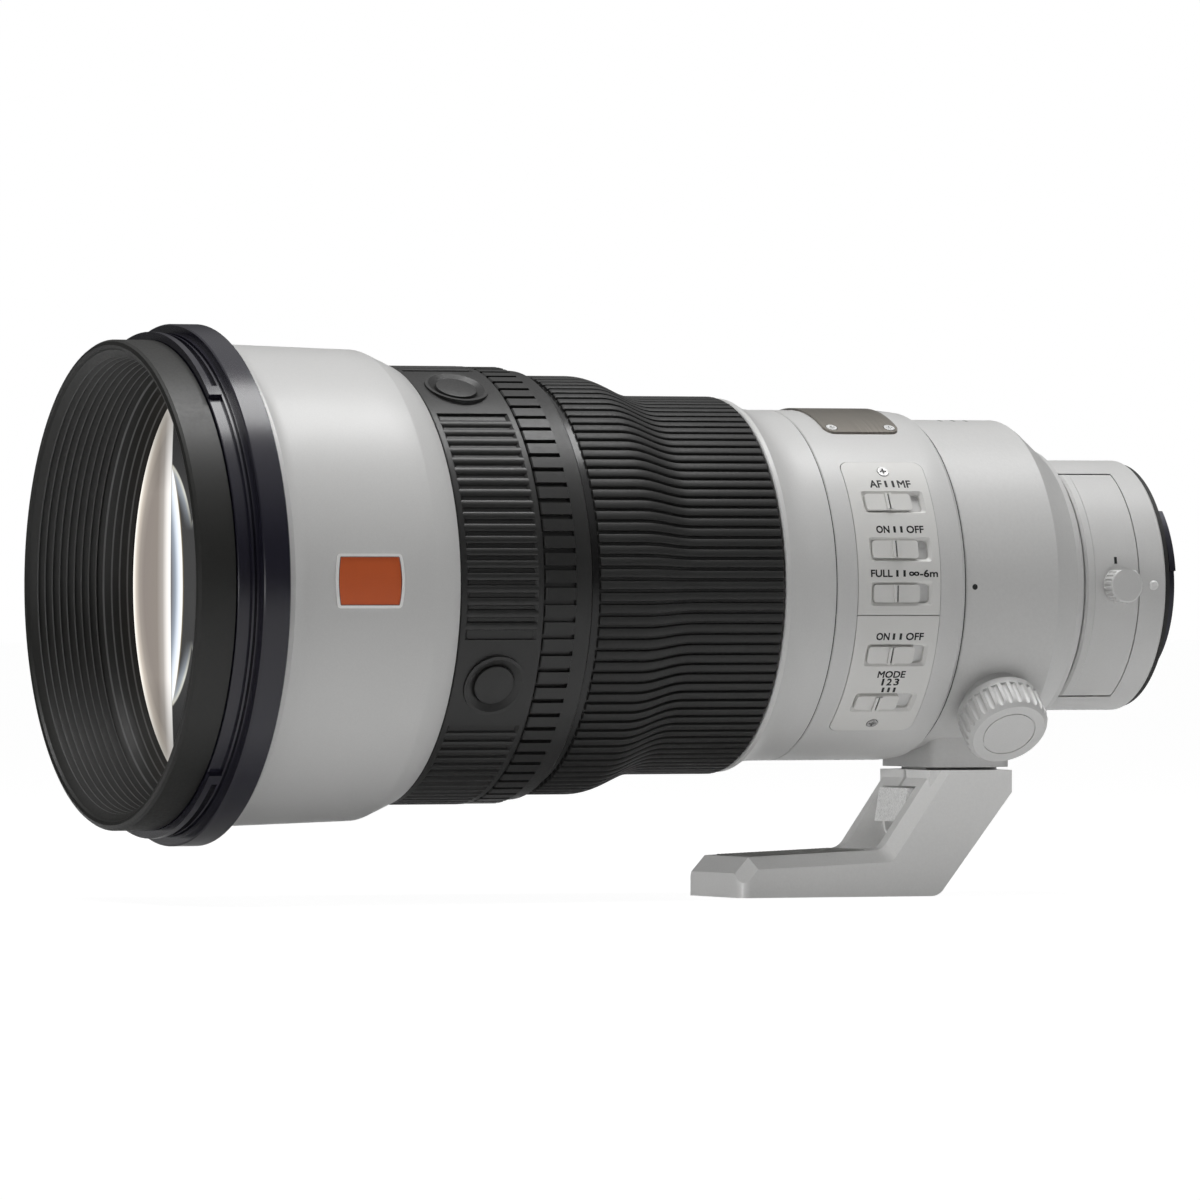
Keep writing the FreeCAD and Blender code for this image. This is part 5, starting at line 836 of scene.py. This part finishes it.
def rib_mesh(name, stations, foot_width, top_width, height, reference_radius, corner=0.18):
    """A closed bar at the top of the lens, from stations of distance ahead, floor radius and height share."""
    points = []
    for ahead, floor_radius, tallness in stations:
        narrowing = floor_radius / reference_radius
        root = floor_radius - ROOT_DEPTH
        top = floor_radius + height * tallness
        shoulder = max(top - corner / 2, floor_radius - SHOULDER_DEPTH)
        crown = max(top, floor_radius - CROWN_DEPTH)
        section = [
            (-foot_width / 2, root),
            (-top_width / 2, shoulder),
            (-top_width / 2 + corner, crown),
            (top_width / 2 - corner, crown),
            (top_width / 2, shoulder),
            (foot_width / 2, root),
        ]
        for across, radius in section:
            angle = across * narrowing / radius
            points.append((-ahead * MM, radius * math.sin(angle) * MM, radius * math.cos(angle) * MM))
    faces = []
    sides = 6
    for station in range(len(stations) - 1):
        for side_number in range(sides):
            first = station * sides + side_number
            second = station * sides + (side_number + 1) % sides
            faces.append((first, first + sides, second + sides, second))
    faces.append(tuple(range(sides)))
    faces.append(tuple(reversed(range(len(points) - sides, len(points)))))
    mesh = bpy.data.meshes.new(name)
    mesh.from_pydata(points, [], faces)
    mesh.update()
    return mesh


def outward(mesh):
    """Point every face of a closed mesh outwards."""
    work = bmesh.new()
    work.from_mesh(mesh)
    bmesh.ops.remove_doubles(work, verts=work.verts, dist=0.0000001)
    bmesh.ops.recalc_face_normals(work, faces=work.faces)
    work.to_mesh(mesh)
    work.free()
    return mesh


# %% [markdown]
# ### Ribs of the focus grip
# The grip swings down in a soft step behind its front quarter, and every rib follows that step.
# The step is half a wave of a cosine, the same curve as in the solid.

# %% Focus grip ribs
GRIP_FLOOR = 49.55
GRIP_DROP = 4.7
STEP_FRONT = 148.0
STEP_LENGTH = 16.0
STEP_PARTS = 12
GRIP_RIBS = 112


def grip_floor(ahead):
    """Floor radius of the grip at a distance ahead of the mount flange."""
    share_down = min(max((STEP_FRONT - ahead) / STEP_LENGTH, 0.0), 1.0)
    return GRIP_FLOOR - GRIP_DROP * (1 - math.cos(math.pi * share_down)) / 2


front_end = [(159.65, 0.0), (159.55, 0.75), (159.25, 1.0)]
down_the_step = [(STEP_FRONT - STEP_LENGTH * number / STEP_PARTS, 1.0) for number in range(STEP_PARTS + 1)]
rear_end = [(110.6, 1.0), (109.95, 0.7), (109.7, 0.0)]
grip_outline = front_end + down_the_step + rear_end
grip_stations = [(ahead, grip_floor(ahead), tallness) for ahead, tallness in grip_outline]
grip_rib = outward(rib_mesh("grip_rib", grip_stations, 2.3, 1.85, 0.8, GRIP_FLOOR))
without_gaps = {
    "Count": GRIP_RIBS,
    "First angle": 0.0,
    "Gap spacing": math.radians(360),
    "Gap centre": 0.0,
    "Gap half width": -1.0,
    "Finish": grip_rubber.material,
}
add_row("grip_ribs", grip_rib, row_tree, row_inputs, without_gaps, "focus_ring_body")

# %% [markdown]
# ### Ribs of the button ring
# These are lower, stop short of both rims, and leave a smooth field around each of the four buttons.

# %% Button ring ribs
RING_FLOOR = 51.85
RING_RIBS = 112
BUTTON_SPACING = 90
BUTTON_ANGLE = 90 - 63.3
FIELD_HALF_WIDTH = 12.9
ring_stations = [(ahead, RING_FLOOR, 1.0) for ahead in (194.9, 185.7, 176.5)]
ring_rib = outward(rib_mesh("ring_rib", ring_stations, 2.3, 1.65, 0.68, RING_FLOOR, 0.34))
with_button_fields = {
    "Count": RING_RIBS,
    "First angle": math.radians(BUTTON_ANGLE + BUTTON_SPACING / 2),
    "Gap spacing": math.radians(BUTTON_SPACING),
    "Gap centre": math.radians(BUTTON_ANGLE),
    "Gap half width": math.radians(FIELD_HALF_WIDTH),
    "Finish": ring_black.material,
}
add_row("button_ring_ribs", ring_rib, row_tree, row_inputs, with_button_fields, "lens_body")

# %% [markdown]
# ## Printed marks
# The switch panels carry small words and bars in dark paint. Blender's own font gives the letters. Each
# word becomes a thin mesh, is scaled to its real width, and is then wrapped onto the round barrel,
# because a flat word would cut into the panel or hang over it.


# %% Words and bars wrapped on a barrel
def wrap_on_barrel(mesh, ahead, angle, radius):
    """Move a flat mesh, drawn in millimetres, onto a barrel at a place and an angle."""
    for vertex in mesh.vertices:
        along, up, proud = vertex.co
        place_angle = math.radians(angle) + up / radius
        distance = radius + proud
        vertex.co = (
            (-ahead + along) * MM,
            -distance * math.cos(place_angle) * MM,
            distance * math.sin(place_angle) * MM,
        )
    mesh.update()


STROKE_WEIGHT = 0.06
PRINT_THICKNESS = 0.02


def thickened(mesh, weight):
    """Copies of a thin flat mesh, each moved a little to one side, so its strokes get bolder."""
    bold = bmesh.new()
    for across, upward in ((-weight, -weight), (weight, -weight), (-weight, weight), (weight, weight)):
        step = mesh.copy()
        step.transform(Matrix.Translation((across, upward, 0.0)))
        bold.from_mesh(step)
        bpy.data.meshes.remove(step)
    bold.to_mesh(mesh)
    bold.free()


def printed_word(text, ahead, angle, radius, width, height):
    """A word as a thin mesh of real width and height on a barrel."""
    curve = bpy.data.curves.new("word", "FONT")
    curve.body = text
    curve.size = 2.0
    curve.extrude = PRINT_THICKNESS
    curve.resolution_u = 3
    mesh = plain_mesh(placed("word", curve))
    lows = [min(vertex.co[axis] for vertex in mesh.vertices) for axis in range(2)]
    highs = [max(vertex.co[axis] for vertex in mesh.vertices) for axis in range(2)]
    for vertex in mesh.vertices:
        vertex.co.x = (vertex.co.x - (lows[0] + highs[0]) / 2) * width / (highs[0] - lows[0])
        vertex.co.y = (vertex.co.y - (lows[1] + highs[1]) / 2) * height / (highs[1] - lows[1])
    thickened(mesh, STROKE_WEIGHT)
    wrap_on_barrel(mesh, ahead, angle, radius)
    return mesh


def printed_outline(outline, ahead, angle, radius):
    """A flat outline as a thin closed mesh on a barrel."""
    corners = len(outline)
    levels = (-PRINT_THICKNESS, PRINT_THICKNESS)
    points = [(along, up, level) for level in levels for along, up in outline]
    faces = [tuple(reversed(range(corners))), tuple(range(corners, 2 * corners))]
    for corner in range(corners):
        following = (corner + 1) % corners
        faces.append((corner, following, corners + following, corners + corner))
    mesh = bpy.data.meshes.new("outline")
    mesh.from_pydata(points, [], faces)
    wrap_on_barrel(mesh, ahead, angle, radius)
    return mesh


def printed_bar(ahead, angle, radius, width, height):
    """A plain bar on a barrel."""
    half_width, half_height = width / 2, height / 2
    corners = [(-half_width, -half_height), (half_width, -half_height),
               (half_width, half_height), (-half_width, half_height)]
    return printed_outline(corners, ahead, angle, radius)


def printed_dot(ahead, angle, radius, width):
    """A round dot on a barrel."""
    steps = 20
    turns = [2 * math.pi * step / steps for step in range(steps)]
    rim = [(width / 2 * math.cos(turn), width / 2 * math.sin(turn)) for turn in turns]
    return printed_outline(rim, ahead, angle, radius)


def gather_marks(name, meshes, body):
    """Join printed marks, or bands of painted shade, into one piece in mark paint."""
    points = []
    faces = []
    for mesh in meshes:
        start = len(points)
        points += [tuple(vertex.co) for vertex in mesh.vertices]
        faces += [tuple(start + corner for corner in face.vertices) for face in mesh.polygons]
        bpy.data.meshes.remove(mesh)
    joined = bpy.data.meshes.new(name)
    joined.from_pydata(points, [], faces)
    joined.materials.append(mark_paint.material)
    settle(placed(name, joined), body)


# %% [markdown]
# ### Words and bars of the switch panels
# A word stands at each end of a slider's travel, with short bars between, and the last slider has numbers.
# The rows give the place ahead of the mount flange in millimetres, the angle up from the side in degrees,
# and the width and height in millimetres.

# %% The words on the switch panels
PANEL_RADIUS = 42.62
BAR_WIDTH = 0.62
words = [
    ("AF", 81.3, 34.8, 3.12, 2.03),
    ("MF", 73.8, 34.8, 3.38, 2.04),
    ("ON", 81.9, 18.3, 3.38, 1.76),
    ("OFF", 73.4, 18.3, 4.42, 1.76),
    ("FULL", 83.1, 3.8, 5.58, 1.67),
    ("∞-6m", 72.1, 3.8, 7.53, 1.67),
    ("ON", 82.0, -16.8, 3.38, 1.74),
    ("OFF", 73.6, -16.8, 4.55, 1.75),
    ("MODE", 77.9, -30.2, 7.14, 1.80),
    ("1", 79.7, -33.1, 0.44, 1.85),
    ("2", 78.0, -33.1, 1.23, 1.85),
    ("3", 76.1, -33.1, 1.23, 1.85),
]
bar_rows = [
    (34.8, 1.9, (78.6, 76.7)),
    (18.3, 1.6, (78.8, 77.0)),
    (3.8, 1.6, (79.0, 77.1)),
    (-16.8, 1.6, (79.1, 77.3)),
    (-36.2, 1.4, (79.1, 77.6, 76.1)),
]
panel_marks = [printed_word(text, ahead, angle, PANEL_RADIUS, width, height)
               for text, ahead, angle, width, height in words]
for angle, height, places in bar_rows:
    panel_marks += [printed_bar(ahead, angle, PANEL_RADIUS, BAR_WIDTH, height) for ahead in places]
gather_marks("switch_panel_marks", panel_marks, "lens_body")

# %% [markdown]
# ### Painted shade at the seams between the white barrels
# Where two barrels meet, the photo shows a fine dark line, the shade in the narrow gap. A thin dark band
# lies over each joint as painted shade. Its radius comes from the rim of the barrel that it belongs to.


# %% Seam bands of painted shade
def rim_radius(node, place):
    """The greatest radius of a node at one place along the axis, in millimetres."""
    rim = [math.hypot(vertex.co.y, vertex.co.z) for vertex in nodes[node].data.vertices
           if abs(vertex.co.x - place) < 0.00005]
    return max(rim) / MM


def seam_band(ahead, radius, width):
    """A thin closed band all the way round a barrel."""
    steps = 240
    rear, front = ahead - width / 2, ahead + width / 2
    inner, outer = radius - PRINT_THICKNESS, radius + PRINT_THICKNESS
    section = [(rear, inner), (front, inner), (front, outer), (rear, outer)]
    points = []
    faces = []
    for step in range(steps):
        turn = 2 * math.pi * step / steps
        for along, out in section:
            points.append((-along * MM, math.sin(turn) * out * MM, math.cos(turn) * out * MM))
        here, there = 4 * step, 4 * ((step + 1) % steps)
        faces += [(here + one, here + (one + 1) % 4, there + (one + 1) % 4, there + one) for one in range(4)]
    mesh = bpy.data.meshes.new("band")
    mesh.from_pydata(points, [], faces)
    return outward(mesh)


SEAM_WIDTH = 0.32
SEAM_LIFT = 0.03
barrel_low, barrel_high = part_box("switch_barrel")
seam_shades = []
for place in (barrel_low.x, barrel_high.x):
    seam_shades.append(seam_band(-place / MM, rim_radius("switch_barrel", place) + SEAM_LIFT, SEAM_WIDTH))
# The bands go in with the printed marks, but they are painted shade in the gaps, not print.
gather_marks("barrel_seam_shade", seam_shades, "lens_body")

# %% [markdown]
# ### The index line of each slider
# A thin black line lies between the two ribs of a slider and shows which setting is on. It moves with its
# slider.

# %% Index lines on the sliders
SLIDER_TOP = PANEL_RADIUS + 0.45
slider_angles = {
    "focus_mode_switch": 28.0,
    "override_switch": 11.7,
    "range_switch": -2.7,
    "stabiliser_switch": -23.2,
    "stabiliser_mode_switch": -41.6,
}
for slider, angle in slider_angles.items():
    slider_low, slider_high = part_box(slider)
    slider_ahead = -(slider_low.x + slider_high.x) / 2 / MM
    line = printed_bar(slider_ahead, angle, SLIDER_TOP, 0.38, 3.9)
    gather_marks(slider + "_line", [line], slider + "_body")

# %% [markdown]
# ### Index marks of the collar and the filter holder
# A dot on the side of the collar and three short strokes on its top show how far it is turned, and a bar
# marks the filter holder. They are printed on pieces that move, so they ride on the bodies of those
# pieces.

# %% The index marks of the collar and the filter holder
COLLAR_RADIUS = 40.3
HOLDER_RADIUS = 30.8
STROKE_PITCH = 3.4
gather_marks("collar_index_dot", [printed_dot(57.4, -0.6, COLLAR_RADIUS, 1.4)], "collar_body")
strokes = [printed_bar(50.0 - STROKE_PITCH * number, 84.0, COLLAR_RADIUS, 0.6, 2.2) for number in range(3)]
gather_marks("collar_top_marks", strokes, "collar_body")
gather_marks("filter_index_bar", [printed_bar(15.0, 11.3, HOLDER_RADIUS, 0.75, 1.7)], "filter_body")

# %% [markdown]
# ## Finger rest on the foot
# The top of the foot's plate carries a thin ribbed pad, so that fingers hold it when the lens is carried.
# It is one low ridge repeated in a straight line by Geometry Nodes.


# %% Finger rest
def make_line_tree():
    """A tree that repeats its input in a straight line."""
    tree, start, sockets = new_tree(
        "row_in_line", [("Count", "Int"), ("Step", "Vector"), ("Finish", "Material")])
    points = add_node(tree, "GeometryNodeMeshLine")
    tree.links.new(start.outputs["Count"], points.inputs["Count"])
    tree.links.new(start.outputs["Step"], points.inputs["Offset"])
    copy_to_points(tree, start, points.outputs["Mesh"])
    return tree, sockets


line_tree, line_inputs = make_line_tree()
PLATE_FRONT = 105.0
PLATE_HEIGHT = -65.6
REST_FRONT = 103.0
REST_REAR = 73.0
REST_RISE = 0.0423
REST_STEPS = 30
REST_HALF_WIDTH = 10.5
RIDGE_ROOT = -0.15
RIDGE_VALLEY = 0.06
RIDGE_TOP = 0.22
ridge_step = (REST_FRONT - REST_REAR) / REST_STEPS
rest_height = PLATE_HEIGHT + (PLATE_FRONT - REST_FRONT) * REST_RISE
ridge_outline = [
    (0.0, RIDGE_ROOT),
    (0.0, RIDGE_VALLEY),
    (0.3, RIDGE_TOP),
    (0.6, RIDGE_TOP),
    (ridge_step, RIDGE_VALLEY),
    (ridge_step, RIDGE_ROOT),
]
ridge_points = []
for back, rise in ridge_outline:
    for beside in (-REST_HALF_WIDTH, REST_HALF_WIDTH):
        height = rest_height + rise + back * REST_RISE
        ridge_points.append(((back - REST_FRONT) * MM, beside * MM, height * MM))
ridge_faces = [(2 * one, 2 * one + 1, 2 * one + 3, 2 * one + 2) for one in range(5)]
ridge_faces += [(10, 11, 1, 0), (0, 2, 4, 6, 8, 10), (11, 9, 7, 5, 3, 1)]
ridge = bpy.data.meshes.new("rest_ridge")
ridge.from_pydata(ridge_points, [], ridge_faces)
rest_settings = {
    "Count": REST_STEPS,
    "Step": (ridge_step * MM, 0.0, ridge_step * REST_RISE * MM),
    "Finish": rest_rubber.material,
}
add_row("finger_rest", outward(ridge), line_tree, line_inputs, rest_settings, "foot_body")
